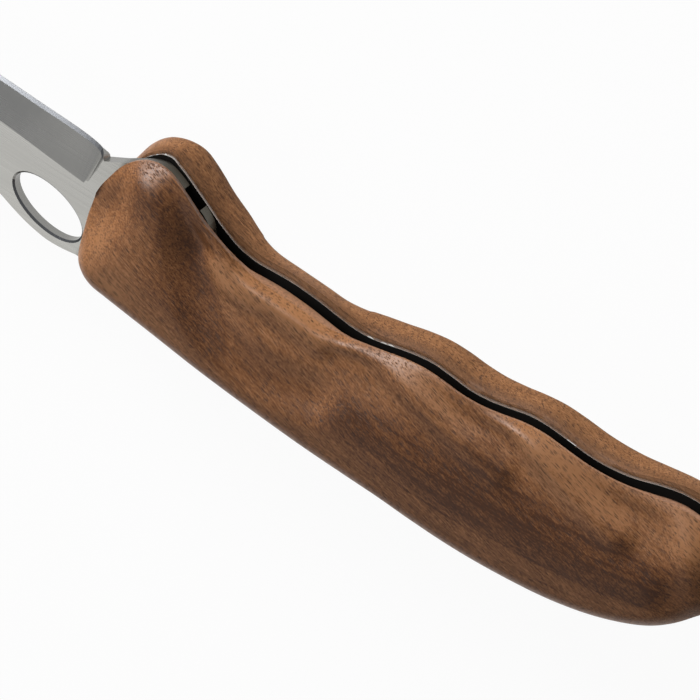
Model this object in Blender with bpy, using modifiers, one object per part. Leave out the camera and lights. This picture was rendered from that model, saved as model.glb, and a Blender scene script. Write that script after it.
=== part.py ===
# Folding knife with a back lock, two walnut scales and an oval thumb hole, modelled with its blade open.
# Metres, +Z up. X runs along the handle towards the blade's point, Y from the cutting edge to the spine.
# The origin is on the axis of the blade's pivot, in the plane of the far scale's outer face, on which the
# knife lies. The blade, the liners and the lock bar are shared out about the middle plane above it.
import math

import bmesh
import bpy

mm = 0.001

# Driving dimensions
handle_length = 136.0 * mm
handle_height = 36.0 * mm
handle_thickness = 20.0 * mm
blade_thickness = 3.0 * mm
liner_thickness = 1.0 * mm
washer_thickness = 0.2 * mm
seat_gap = 0.25 * mm
overrun = 2.0 * mm

# The blade closes into the handle, so its sizes and the pivot's place follow the handle's
pivot_setback_share = 0.10221
blade_run_share = 0.81618
blade_height_share = 1.0
pivot_setback = handle_length * pivot_setback_share
blade_run = handle_length * blade_run_share
blade_height = handle_height * blade_height_share

# The stack across the handle, counted out from the middle plane
middle = handle_thickness / 2
slot_half = blade_thickness / 2 + washer_thickness + 2 * seat_gap
liner_face = slot_half + liner_thickness
scale_face = liner_face + seat_gap

# Outlines of the wood, as shares of the handle's length back from its front end and of its height above
# the pivot. The widest outline lies a little above the slot's edge, where the wood swells out.
belly_wide_shares = (
    (0.000, -0.094), (0.002, -0.144), (0.007, -0.208), (0.013, -0.275), (0.022, -0.333), (0.033, -0.375),
    (0.045, -0.400), (0.058, -0.415), (0.073, -0.419), (0.088, -0.406), (0.102, -0.382), (0.117, -0.353),
    (0.146, -0.292), (0.176, -0.243), (0.205, -0.197), (0.235, -0.162), (0.279, -0.154), (0.323, -0.149),
    (0.352, -0.144), (0.382, -0.158), (0.411, -0.185), (0.440, -0.211), (0.470, -0.240), (0.499, -0.257),
    (0.529, -0.257), (0.558, -0.250), (0.588, -0.254), (0.617, -0.272), (0.646, -0.296), (0.676, -0.308),
    (0.705, -0.304), (0.749, -0.294), (0.793, -0.304), (0.838, -0.335), (0.874, -0.358), (0.907, -0.364),
    (0.937, -0.344), (0.964, -0.283), (0.985, -0.203), (0.996, -0.139), (1.000, -0.111),
)
belly_slot_shares = (
    (0.000, -0.100), (0.003, -0.150), (0.008, -0.217), (0.015, -0.278), (0.026, -0.325), (0.037, -0.354),
    (0.052, -0.364), (0.065, -0.347), (0.080, -0.325), (0.102, -0.286), (0.132, -0.233), (0.161, -0.189),
    (0.190, -0.156), (0.220, -0.140), (0.249, -0.146), (0.279, -0.151), (0.323, -0.143), (0.352, -0.131),
    (0.382, -0.121), (0.411, -0.129), (0.440, -0.156), (0.470, -0.183), (0.499, -0.197), (0.529, -0.192),
    (0.558, -0.183), (0.588, -0.192), (0.617, -0.217), (0.646, -0.244), (0.676, -0.250), (0.720, -0.239),
    (0.749, -0.233), (0.779, -0.242), (0.808, -0.264), (0.838, -0.303), (0.867, -0.333), (0.896, -0.344),
    (0.933, -0.325), (0.963, -0.267), (0.985, -0.189), (0.996, -0.131), (1.000, -0.106),
)
spine_wide_shares = (
    (0.000, -0.006), (0.001, 0.047), (0.006, 0.153), (0.013, 0.275), (0.020, 0.328), (0.034, 0.375),
    (0.050, 0.400), (0.073, 0.411), (0.153, 0.443), (0.235, 0.476), (0.326, 0.501), (0.405, 0.517),
    (0.492, 0.524), (0.571, 0.533), (0.648, 0.536), (0.722, 0.519), (0.801, 0.478), (0.867, 0.408),
    (0.922, 0.306), (0.950, 0.211), (0.971, 0.103), (0.987, 0.017), (0.996, -0.017), (1.000, -0.028),
)

# Height of the wood's widest belly line above the slot's edge, as shares of the length and of a scale's thickness
belly_swell_shares = (
    (0.000, 0.595), (0.058, 0.641), (0.102, 0.748), (0.161, 0.710), (0.205, 0.580), (0.249, 0.489),
    (0.352, 0.489), (0.396, 0.573), (0.470, 0.618), (0.543, 0.687), (0.602, 0.626), (0.646, 0.573),
    (0.720, 0.626), (0.779, 0.588), (0.838, 0.534), (1.000, 0.489),
)

# How the wood rounds over
spine_lip = 0.6 * mm
end_lip = 0.8 * mm
spine_swell = 2.5 * mm
belly_round = 11.5 * mm
spine_round = 8.0 * mm
front_round = 7.0 * mm
butt_round = 12.0 * mm
round_blend = 3
ridge_lean_share = 1.8
ridge_carry_share = 0.8
ridge_fade = 13.0 * mm
ridge_start = 8.0 * mm
ridge_run = 14.0 * mm
scale_stations = 52
scale_columns = 14
end_crowding = 0.88

# The liners stand back from the wood at the slot
belly_recess = 1.0 * mm
guard_recess = 0.45 * mm
guard_back = 4.0 * mm
guard_run = 9.0 * mm
spine_recess = 0.35 * mm

# The scoop through both scales and liners where a thumb presses the lock bar's tail
scoop_back_share = 0.5294
scoop_depth = 2.6 * mm
scoop_length = 24.0 * mm
scoop_height = 12.0 * mm
scoop_width = 18.0 * mm

# The blade's edge, spine and grind line, as shares of its run from pivot to point and of its height
edge_shares = (
    (0.149, -0.179), (0.155, -0.201), (0.165, -0.221), (0.182, -0.233), (0.218, -0.242), (0.288, -0.247),
    (0.396, -0.256), (0.523, -0.257), (0.631, -0.243), (0.739, -0.203), (0.829, -0.139), (0.910, -0.056),
    (1.000, 0.050),
)
back_shares = (
    (0.121, 0.364), (0.144, 0.376), (0.176, 0.382), (0.205, 0.371), (0.232, 0.353), (0.259, 0.328),
    (0.283, 0.304), (0.311, 0.287), (0.347, 0.278), (0.432, 0.274), (0.559, 0.267), (0.685, 0.247),
    (0.793, 0.214), (0.883, 0.167), (0.950, 0.114), (1.000, 0.050),
)
grind_shares = (
    (0.144, -0.008), (0.243, -0.031), (0.337, -0.053), (0.495, -0.067), (0.631, -0.056), (0.739, -0.022),
    (0.829, 0.028), (0.910, 0.083), (1.000, 0.139),
)
kick_shares = (
    (0.009, -0.287), (0.017, -0.299), (0.033, -0.318), (0.049, -0.332), (0.061, -0.333),
    (0.072, -0.322), (0.092, -0.286), (0.119, -0.231),
)
ground_half = 0.22 * mm
edge_half = 0.05 * mm
bevel_width = 0.75 * mm
plunge_start_share = 0.14685
plunge_length = 2.0 * mm
taper_start_share = 0.75676
point_half = 0.5 * mm
flat_lift = 0.25 * mm
blade_stations = 40
plunge_crowding = 1.9
plunge_start = blade_run * plunge_start_share
taper_start = blade_run * taper_start_share

# The oval thumb hole, placed and sized along the blade's run and across its height
hole_forward_share = 0.2
hole_up_share = 0.21944
hole_long_share = 0.14775
hole_short_share = 0.21111
hole_tilt = math.radians(-14.0)
hole_chamfer = 0.4 * mm
hole_sides = 48
hole_forward = blade_run * hole_forward_share
hole_up = blade_height * hole_up_share
hole_long = blade_run * hole_long_share
hole_short = blade_height * hole_short_share

# The tang: a round about the pivot with one notch for the open blade and one for the closed blade
tang_radius_share = 0.25833
notch_floor_share = 0.2
tang_top_share = 0.375
notch_back = 1.0 * mm
notch_front = 3.5 * mm
tang_radius = blade_height * tang_radius_share
notch_floor = blade_height * notch_floor_share
tang_top = blade_height * tang_top_share

# The pivot
bush_radius = 3.0 * mm
pivot_radius = 2.0 * mm
washer_radius_share = 0.18333
washer_radius = blade_height * washer_radius_share
rivet_head_radius = 3.4 * mm
rivet_head_height = 1.0 * mm

# The lock bar, drawn first with its tooth in the tang's notch and then turned to its pressed place. Places in
# the handle are shares of its length behind the blade's pivot and of its height above it.
lock_pivot_shares = (0.25735, 0.375)
lock_tail_shares = (0.5, 0.3667)
lock_step_shares = (0.3603, 0.2917)
lock_neck_share = 0.3583
lock_pin_radius = 1.75 * mm
neck_back = 6.7 * mm
kick_clearance = 0.35 * mm
side_gap = 0.3 * mm
tooth_lead = 1.3 * mm
tooth_lead_height = 2.0 * mm
tooth_corner = 0.5 * mm
tooth_clearance = 0.4 * mm
release_lift = tang_radius + tooth_clearance - notch_floor - side_gap
release_angle = math.asin(release_lift / (lock_pivot_shares[0] * handle_length))

# The leaf spring
spring_front_share = 0.4412
spring_rear_share = 0.5882
spring_bump_share = 0.4632
spring_thickness = 0.9 * mm
spring_width = 3.4 * mm
spring_leg = 3.4 * mm
spring_bump = 0.3 * mm

# The rear spacer
front_spacer_pin_shares = (0.5478, 0.4056)
rear_spacer_pin_shares = (0.6691, 0.3667)
spacer_heel_angle = 55.0
spacer_pin_radius = 1.25 * mm

# The fold-out lanyard loop
loop_pivot_shares = (0.75735, 0.27222)
loop_thickness = 3.0 * mm
loop_boss_radius = 3.2 * mm
loop_eye_radius = 4.8 * mm
loop_hole_radius = 3.0 * mm
loop_reach = 9.5 * mm
loop_rest = math.radians(212.0)

# Blind pins that hold the scales on the liners
scale_pin_radius = 1.5 * mm
scale_pin_depth = 3.0 * mm
scale_pin_shares = {"front": (0.1397, 0.125), "rear": (0.6324, 0.0833)}
round_sides = 24


def in_handle(shares):
    """A place in the handle."""
    return -shares[0] * handle_length, shares[1] * handle_height


lock_pivot = in_handle(lock_pivot_shares)
lock_tail = in_handle(lock_tail_shares)
lock_step = in_handle(lock_step_shares)
lock_neck = handle_height * lock_neck_share
front_spacer_pin = in_handle(front_spacer_pin_shares)
rear_spacer_pin = in_handle(rear_spacer_pin_shares)
loop_pivot = in_handle(loop_pivot_shares)
scale_pins = {place: in_handle(shares) for place, shares in scale_pin_shares.items()}
spring_front = -handle_length * spring_front_share
spring_rear = -handle_length * spring_rear_share
bump_x = -handle_length * spring_bump_share

# The pressed tail just clears the leaf spring's bump
pressed_tail = lock_tail[1] - (lock_pivot[0] - bump_x) * math.sin(release_angle)
spring_bed = pressed_tail - seat_gap - spring_bump - spring_thickness


def clear_scene():
    for item in list(bpy.data.objects):
        bpy.data.objects.remove(item, do_unlink=True)


def new_collection(name):
    collection = bpy.data.collections.new(name)
    bpy.context.scene.collection.children.link(collection)
    return collection


clear_scene()
knife = new_collection("folding_knife")
cutters = new_collection("cutters")


def make_material(name, colour, roughness, metallic):
    material = bpy.data.materials.new(name)
    material.use_nodes = True
    shader = material.node_tree.nodes["Principled BSDF"]
    shader.inputs["Base Color"].default_value = (*colour, 1.0)
    shader.inputs["Roughness"].default_value = roughness
    shader.inputs["Metallic"].default_value = metallic
    return material


walnut_near = make_material("walnut_near", (0.21, 0.105, 0.055), 0.5, 0.0)
walnut_far = make_material("walnut_far", (0.30, 0.145, 0.075), 0.5, 0.0)
blade_steel = make_material("blade_steel", (0.42, 0.41, 0.38), 0.35, 1.0)
liner_steel = make_material("liner_steel", (0.55, 0.55, 0.53), 0.2, 1.0)
spring_steel = make_material("spring_steel", (0.40, 0.40, 0.40), 0.3, 1.0)
bronze = make_material("bronze", (0.52, 0.36, 0.16), 0.35, 1.0)


# Outline helpers

def smooth_curve(points, steps=3):
    """Points of a centripetal Catmull-Rom curve that passes through every given point."""
    first = tuple(2 * a - b for a, b in zip(points[0], points[1]))
    last = tuple(2 * a - b for a, b in zip(points[-1], points[-2]))
    chain = [first, *points, last]
    curve = []
    for index in range(len(points) - 1):
        knots = [0.0]
        for start, end in zip(chain[index:index + 3], chain[index + 1:index + 4]):
            knots.append(knots[-1] + math.dist(start, end) ** 0.5)
        for step in range(steps):
            at = knots[1] + (knots[2] - knots[1]) * step / steps
            level = chain[index:index + 4]
            for order in (1, 2, 3):
                level = [
                    tuple((a * (knots[k + order] - at) + b * (at - knots[k])) / (knots[k + order] - knots[k])
                          for a, b in zip(level[k], level[k + 1]))
                    for k in range(len(level) - 1)
                ] if order < 3 else [
                    tuple((a * (knots[2] - at) + b * (at - knots[1])) / (knots[2] - knots[1])
                          for a, b in zip(level[0], level[1]))
                ]
            curve.append(level[0])
    curve.append(tuple(points[-1]))
    return curve


def handle_curve(shares):
    """A long edge of the handle, from its front end to the butt."""
    return smooth_curve([(pivot_setback - a * handle_length, b * handle_height) for a, b in shares])


def blade_curve(shares):
    return smooth_curve([(a * blade_run, b * blade_height) for a, b in shares])


def read_curve(curve, x):
    """The curve's Y at a given X; X may run either way along it."""
    if (x - curve[0][0]) * (curve[-1][0] - curve[0][0]) <= 0:
        return curve[0][1]
    for start, end in zip(curve, curve[1:]):
        if (x - start[0]) * (x - end[0]) <= 0 and start[0] != end[0]:
            return start[1] + (end[1] - start[1]) * (x - start[0]) / (end[0] - start[0])
    return curve[-1][1]


def inset(outline, distances):
    """A closed outline moved inwards, each point by its own distance."""
    area = sum(a[0] * b[1] - b[0] * a[1] for a, b in zip(outline, outline[1:] + outline[:1]))
    turn = 1.0 if area > 0 else -1.0
    moved = []
    for index, point in enumerate(outline):
        before = outline[index - 1]
        after = outline[(index + 1) % len(outline)]
        length = math.dist(before, after)
        normal = (-(after[1] - before[1]) / length * turn, (after[0] - before[0]) / length * turn)
        moved.append((point[0] + normal[0] * distances[index], point[1] + normal[1] * distances[index]))
    return moved


def arc(centre, radius, start, end, count):
    """Points on an arc, its angles in degrees."""
    points = []
    for index in range(count):
        angle = math.radians(start + (end - start) * index / (count - 1))
        points.append((centre[0] + radius * math.cos(angle), centre[1] + radius * math.sin(angle)))
    return points


def circle(centre, radius, count=round_sides):
    return arc(centre, radius, 0, 360 - 360 / count, count)


def turned(points, centre, angle):
    cosine = math.cos(angle)
    sine = math.sin(angle)
    return [(centre[0] + (x - centre[0]) * cosine - (y - centre[1]) * sine,
             centre[1] + (x - centre[0]) * sine + (y - centre[1]) * cosine) for x, y in points]


belly_wide = handle_curve(belly_wide_shares)
belly_slot = handle_curve(belly_slot_shares)
spine_wide = handle_curve(spine_wide_shares)
blade_edge = blade_curve(edge_shares)
blade_back = blade_curve(back_shares)
blade_grind = blade_curve(grind_shares)

front_end = pivot_setback
butt_end = pivot_setback - handle_length
half_length = handle_length / 2
handle_centre = (front_end + butt_end) / 2
slot_scale = 1 - end_lip / half_length


def slot_x(x):
    """Where a station of the widest outline lies on the slot's edge, a lip's width inside it at the ends."""
    return handle_centre + (x - handle_centre) * slot_scale


def slot_outline():
    """The edge of the wood at the slot, once round: the belly from front to butt, then the spine back."""
    belly = [(slot_x(x), y) for x, y in belly_slot]
    spine = [(slot_x(x), y - spine_lip) for x, y in reversed(spine_wide)]
    return belly, spine


def liner_outline():
    belly, spine = slot_outline()
    distances = []
    for x, y in belly:
        along = min(1.0, max(0.0, (-guard_back - x) / guard_run))
        distances.append(guard_recess + (belly_recess - guard_recess) * along)
    outline = inset(belly + spine, distances + [spine_recess] * len(spine))
    return outline[:len(belly)], outline[len(belly):]


liner_belly, liner_spine = liner_outline()


# Mesh helpers

def finish(item, material, collection=knife):
    item.data.materials.clear()
    item.data.materials.append(material)
    item.data.shade_smooth()
    item.data.set_sharp_from_angle(angle=math.radians(28))
    for other in item.users_collection:
        other.objects.unlink(item)
    collection.objects.link(item)
    return item


def mesh_object(name, mesh, place=(0.0, 0.0, 0.0)):
    item = bpy.data.objects.new(name, mesh)
    item.location = place
    bpy.context.scene.collection.objects.link(item)
    return item


def plate(name, outlines, thickness, height, origin=(0.0, 0.0)):
    """A flat piece: the first outline is its edge and the others are its holes."""
    data = bpy.data.curves.new(name, "CURVE")
    data.dimensions = "2D"
    data.fill_mode = "BOTH"
    data.extrude = thickness / 2
    data.resolution_u = 1
    data.render_resolution_u = 0
    for outline in outlines:
        spline = data.splines.new("POLY")
        spline.points.add(len(outline) - 1)
        spline.use_cyclic_u = True
        for point, (x, y) in zip(spline.points, outline):
            point.co = (x - origin[0], y - origin[1], 0.0, 1.0)
    flat = bpy.data.objects.new(name + "_outline", data)
    flat.location = (origin[0], origin[1], height)
    bpy.context.scene.collection.objects.link(flat)
    bpy.context.view_layer.update()
    mesh = bpy.data.meshes.new_from_object(flat.evaluated_get(bpy.context.evaluated_depsgraph_get()))
    mesh.name = name
    body = bmesh.new()
    body.from_mesh(mesh)
    bmesh.ops.remove_doubles(body, verts=body.verts, dist=seat_gap / 1000)
    bmesh.ops.recalc_face_normals(body, faces=body.faces)
    body.to_mesh(mesh)
    body.free()
    item = mesh_object(name, mesh)
    item.matrix_world = flat.matrix_world.copy()
    bpy.data.objects.remove(flat, do_unlink=True)
    return item


def as_cutter(item):
    item.hide_render = True
    item.display_type = "WIRE"
    for other in item.users_collection:
        other.objects.unlink(item)
    cutters.objects.link(item)
    return item


def cut(item, cutter):
    change = item.modifiers.new("cut_" + cutter.name, "BOOLEAN")
    change.operation = "DIFFERENCE"
    change.solver = "EXACT"
    change.object = cutter
    return change


def drum(name, centre, radius, bottom, top, count=round_sides):
    """An upright cylinder between two heights, used as a cutter."""
    bpy.ops.mesh.primitive_cylinder_add(vertices=count, radius=radius, depth=top - bottom,
                                        location=(centre[0], centre[1], (top + bottom) / 2))
    item = bpy.context.object
    item.name = name
    return as_cutter(item)


def turned_piece(name, centre, profile, material, hollow=False):
    """A turned piece about an upright axis. The profile runs down its outer side, top to bottom."""
    mesh = bpy.data.meshes.new(name)
    verts = [(radius, 0.0, height) for radius, height in profile]
    edges = [(index, index + 1) for index in range(len(verts) - 1)]
    if hollow:
        edges.append((len(verts) - 1, 0))
    mesh.from_pydata(verts, edges, [])
    item = mesh_object(name, mesh, (centre[0], centre[1], middle))
    screw = item.modifiers.new("turn", "SCREW")
    screw.axis = "Z"
    screw.angle = math.tau
    screw.steps = round_sides
    screw.render_steps = round_sides
    screw.use_merge_vertices = True
    screw.merge_threshold = seat_gap / 100
    screw.use_smooth_shade = True
    return finish(item, material)


def loft(name, rows):
    """A closed solid through rings of points of equal count, with its two ends closed."""
    body = bmesh.new()
    rings = [[body.verts.new(point) for point in row] for row in rows]
    count = len(rings[0])
    for ring, following in zip(rings, rings[1:]):
        for index in range(count):
            after = (index + 1) % count
            body.faces.new((ring[index], ring[after], following[after], following[index]))
    body.faces.new(rings[0])
    body.faces.new(rings[-1])
    bmesh.ops.recalc_face_normals(body, faces=body.faces)
    mesh = bpy.data.meshes.new(name)
    body.to_mesh(mesh)
    body.free()
    return mesh_object(name, mesh)


# The scales

def distance_to(x, y, curve):
    """How far a point lies from a line of points."""
    nearest = handle_length
    for (ax, ay), (bx, by) in zip(curve, curve[1:]):
        run = bx - ax
        rise = by - ay
        along = ((x - ax) * run + (y - ay) * rise) / (run * run + rise * rise)
        along = min(1.0, max(0.0, along))
        nearest = min(nearest, math.hypot(x - ax - along * run, y - ay - along * rise))
    return nearest


front_line = [belly_wide[0], spine_wide[0]]
butt_line = [belly_wide[-1], spine_wide[-1]]


def crown(x, y):
    """How far the wood has risen above its edge, as a share of its full rise."""
    belly = read_curve(belly_wide, x)
    depth = y - belly
    carry = ridge_carry_share * max(0.0, 1 - depth / ridge_fade)
    carry *= min(1.0, max(0.0, (-ridge_start - x) / ridge_run))
    wave = read_curve(belly_wide, x + ridge_lean_share * depth) - belly if carry else 0.0
    edge_distances = (
        (max(0.0, distance_to(x, y, belly_wide) - carry * wave), belly_round),
        (distance_to(x, y, spine_wide), spine_round),
        (distance_to(x, y, front_line), front_round),
        (distance_to(x, y, butt_line), butt_round),
    )
    fall = sum(max(0.0, 1 - distance / reach) ** round_blend for distance, reach in edge_distances)
    return math.sqrt(1 - min(1.0, fall ** (1 / round_blend)) ** 2)


def scale_station(share):
    """X of a station: the ends are crowded, because the wood rounds over there."""
    crowded = (1 - math.cos(math.pi * share)) / 2
    return front_end - handle_length * (share * (1 - end_crowding) + crowded * end_crowding)


def scale_section(x):
    belly = read_curve(belly_wide, x)
    spine = read_curve(spine_wide, x)
    inner_belly = read_curve(belly_slot, x)
    inner_spine = spine - spine_lip
    base = scale_face
    thickness = handle_thickness / 2 - base
    belly_height = base + thickness * read_curve(belly_swell_shares, (front_end - x) / handle_length)
    spine_height = base + spine_swell
    inner_x = slot_x(x)
    points = [(inner_x, inner_belly, base)]
    points.append(((inner_x + x) / 2, (inner_belly + belly) / 2, (base + belly_height) / 2))
    points.append((x, belly, belly_height))
    for column in range(1, scale_columns):
        across = (1 - math.cos(math.pi * column / scale_columns)) / 2
        y = belly + (spine - belly) * across
        edge_height = belly_height + (spine_height - belly_height) * across
        points.append((x, y, edge_height + (base + thickness - edge_height) * crown(x, y)))
    points.append((x, spine, spine_height))
    points.append(((inner_x + x) / 2, (inner_spine + spine) / 2, (base + spine_height) / 2))
    points.append((inner_x, inner_spine, base))
    return points


scale_sections = [scale_section(scale_station(index / scale_stations)) for index in range(scale_stations + 1)]


def rivet_pockets(side):
    """Round pockets in a scale's inner face for the rivet heads."""
    places = {
        "pivot": ((0.0, 0.0), rivet_head_radius),
        "lock": (lock_pivot, lock_pin_radius * 1.7),
        "front_spacer": (front_spacer_pin, spacer_pin_radius * 1.7),
        "rear_spacer": (rear_spacer_pin, spacer_pin_radius * 1.7),
        "loop": (loop_pivot, spacer_pin_radius * 1.7),
    }
    pockets = []
    near = scale_face - overrun
    deep = liner_face + seat_gap + rivet_head_height + side_gap
    for name, (centre, radius) in places.items():
        low, high = sorted((middle + side * near, middle + side * deep))
        pockets.append(drum(f"pocket_{name}_{side}", centre, radius + side_gap, low, high))
    for name, centre in scale_pins.items():
        low, high = sorted((middle + side * near, middle + side * (scale_face + scale_pin_depth + side_gap)))
        pockets.append(drum(f"bore_{name}_{side}", centre, scale_pin_radius + side_gap, low, high))
    return pockets


def make_scoop():
    """The egg-shaped hollow over the lock bar's tail."""
    x = pivot_setback - handle_length * scoop_back_share
    height = read_curve(spine_wide, x) - scoop_depth + scoop_height / 2
    bpy.ops.mesh.primitive_uv_sphere_add(segments=32, ring_count=20, radius=scoop_length / 2,
                                         location=(x, height, middle))
    item = bpy.context.object
    item.name = "thumb_scoop"
    item.scale = (1.0, scoop_height / scoop_length, scoop_width / scoop_length)
    return as_cutter(item)


scoop = make_scoop()


def make_scale(name, side, material):
    rows = [[(x, y, middle + side * z) for x, y, z in section] for section in scale_sections]
    item = finish(loft(name, rows), material)
    cut(item, scoop)
    for pocket in rivet_pockets(side):
        cut(item, pocket)
    return item


# The liners

def rivet_holes():
    return [
        circle((0.0, 0.0), pivot_radius + side_gap),
        circle(lock_pivot, lock_pin_radius + side_gap),
        circle(front_spacer_pin, spacer_pin_radius + side_gap),
        circle(rear_spacer_pin, spacer_pin_radius + side_gap),
        circle(loop_pivot, spacer_pin_radius + side_gap),
    ]


def make_liner(name, side):
    pin_holes = [circle(centre, scale_pin_radius + side_gap) for centre in scale_pins.values()]
    height = middle + side * (slot_half + liner_thickness / 2)
    item = plate(name, [liner_belly + liner_spine, *rivet_holes(), *pin_holes], liner_thickness, height)
    finish(item, liner_steel)
    cut(item, scoop)
    return item


# The blade

def blade_outline():
    """Once round the blade: the edge to the point, the back to the tang, and the tang's notches and kick."""
    outline = list(blade_edge)
    outline += list(reversed(blade_back))[1:]
    outline.append((notch_front, tang_top))
    outline.append((notch_front, notch_floor))
    outline.append((-notch_back, notch_floor))
    rear = math.degrees(math.acos(-notch_back / tang_radius))
    low = 360 - math.degrees(math.acos(-notch_front / tang_radius))
    outline += arc((0.0, 0.0), tang_radius, rear, low, 24)
    outline.append((-notch_front, -notch_floor))
    outline.append((notch_back, -notch_floor))
    kick = blade_curve(kick_shares)
    outline += kick
    return outline


def grind_section(x, side):
    """What is ground away at a place along the blade: the sharpened bevel, the ground face and the flat."""
    edge = read_curve(blade_edge, x)
    half = blade_thickness / 2
    slope = (half - ground_half) / (read_curve(blade_grind, x) - edge)
    bevel_top = ground_half + slope * bevel_width
    bevel_slope = (bevel_top - edge_half) / bevel_width
    taper = min(1.0, max(0.0, (x - taper_start) / (blade_run - taper_start)))
    flat = (half + flat_lift) * (1 - taper) + point_half * taper
    plunge = min(1.0, max(0.0, (x - plunge_start) / plunge_length))
    eased = plunge * plunge * (3 - 2 * plunge)
    heights = [edge_half - bevel_slope * overrun, bevel_top, flat, flat]
    places = [edge - overrun, edge + bevel_width, edge + (flat - ground_half) / slope,
              read_curve(blade_back, x) + overrun]
    section = [(x, y, middle + side * (z * eased + (half + flat_lift) * (1 - eased)))
               for y, z in zip(places, heights)]
    top = middle + side * blade_thickness
    section.append((x, places[-1], top))
    section.append((x, places[0], top))
    return section


def blade_station(index):
    """X of a station: they are crowded in the plunge, where the grind begins."""
    share = index / blade_stations
    return plunge_start + (blade_run + overrun - plunge_start) * share ** plunge_crowding


def make_thumb_hole():
    """An oval cutter that flares at both faces of the blade, so the rim gets a chamfer."""
    half = blade_thickness / 2
    steps = (
        (half + overrun, hole_chamfer + overrun),
        (half - hole_chamfer, 0.0),
        (-half + hole_chamfer, 0.0),
        (-half - overrun, hole_chamfer + overrun),
    )
    rows = []
    for height, flare in steps:
        oval = [
            (hole_forward + (hole_long / 2 + flare) * math.cos(angle),
             hole_up + (hole_short / 2 + flare) * math.sin(angle))
            for angle in (math.tau * index / hole_sides for index in range(hole_sides))
        ]
        rows.append([(x, y, middle + height) for x, y in turned(oval, (hole_forward, hole_up), hole_tilt)])
    return as_cutter(loft("thumb_hole", rows))


def make_blade():
    item = plate("blade", [blade_outline(), circle((0.0, 0.0), bush_radius + side_gap)],
                 blade_thickness, middle)
    finish(item, blade_steel)
    for side, label in ((1, "near"), (-1, "far")):
        rows = [grind_section(blade_station(index), side) for index in range(blade_stations + 1)]
        cut(item, as_cutter(loft("grind_" + label, rows)))
    cut(item, make_thumb_hole())
    return item


# The pivot

def make_ring(name, outer, inner, bottom, top, material, centre=(0.0, 0.0)):
    profile = [(inner, top), (outer, top), (outer, bottom), (inner, bottom)]
    return turned_piece(name, centre, profile, material, hollow=True)


def make_rivet(name, centre, radius, head_radius, material):
    """A pin with a low head beyond each liner."""
    seat = liner_face + seat_gap
    face = seat + rivet_head_height
    dome = rivet_head_height / 4
    profile = [
        (0.0, face), (head_radius - dome, face), (head_radius, face - dome), (head_radius, seat),
        (radius, seat), (radius, -seat), (head_radius, -seat), (head_radius, dome - face),
        (head_radius - dome, -face), (0.0, -face),
    ]
    return turned_piece(name, centre, profile, material)


def make_pivot():
    bush_half = slot_half - seat_gap
    make_ring("pivot_bush", bush_radius, pivot_radius + side_gap, -bush_half, bush_half, bronze)
    make_rivet("pivot_rivet", (0.0, 0.0), pivot_radius, rivet_head_radius, spring_steel)
    low = blade_thickness / 2 + seat_gap
    high = low + washer_thickness
    inner = bush_radius + side_gap
    make_ring("near_pivot_washer", washer_radius, inner, low, high, bronze)
    make_ring("far_pivot_washer", washer_radius, inner, -high, -low, bronze)


# The lock bar, spring and spacer

def spine_line(x):
    """The liners' edge along the spine, with which the lock bar lies flush."""
    return read_curve(liner_spine, x)


def spine_run(start, end, count):
    places = [start + (end - start) * index / (count - 1) for index in range(count)]
    return [(x, spine_line(x)) for x in places]


kick_radius = max(math.hypot(a * blade_run, b * blade_height) for a, b in kick_shares[:-2])
neck_radius = kick_radius + kick_clearance


def lock_outline():
    tooth_front = notch_front - side_gap
    tooth_back = -notch_back + side_gap
    tooth_foot = notch_floor + side_gap
    lock_belly = lock_step[1]
    outline = spine_run(tooth_front, lock_tail[0], 30)
    outline.append(lock_tail)
    outline.append((lock_step[0], lock_tail[1]))
    outline.append((lock_step[0] + (lock_tail[1] - lock_belly), lock_belly))
    relief_end = -math.sqrt(neck_radius ** 2 - lock_belly ** 2)
    start = math.degrees(math.atan2(lock_belly, relief_end))
    neck_corner = math.sqrt(neck_radius ** 2 - neck_back ** 2)
    end = math.degrees(math.atan2(neck_corner, -neck_back))
    outline += arc((0.0, 0.0), neck_radius, start, end, 6)
    outline.append((tooth_back, lock_neck))
    outline.append((tooth_back, tooth_foot + tooth_lead_height))
    outline.append((tooth_back + tooth_lead, tooth_foot))
    outline.append((tooth_front - tooth_corner, tooth_foot))
    outline.append((tooth_front, tooth_foot + tooth_corner))
    return outline


def make_lock_bar():
    shape = turned(lock_outline(), lock_pivot, release_angle)
    hole = circle(lock_pivot, lock_pin_radius + side_gap)
    item = plate("lock_bar", [shape, hole], 2 * (slot_half - side_gap), middle, lock_pivot)
    finish(item, spring_steel)
    make_rivet("lock_rivet", lock_pivot, lock_pin_radius, lock_pin_radius * 1.7, spring_steel)
    return item


def make_spring():
    low = spring_bed
    high = spring_bed + spring_thickness
    bump = (spring_front - spring_rear) / 8
    leg_front = spring_rear + spring_thickness
    outline = [
        (spring_rear, low), (spring_front, low), (spring_front, high),
        (bump_x + bump / 2, high), (bump_x, high + spring_bump), (bump_x - bump / 2, high),
        (leg_front, high), (leg_front, low + spring_leg), (spring_rear, low + spring_leg),
    ]
    return finish(plate("lock_spring", [outline], spring_width, middle), spring_steel)


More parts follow.
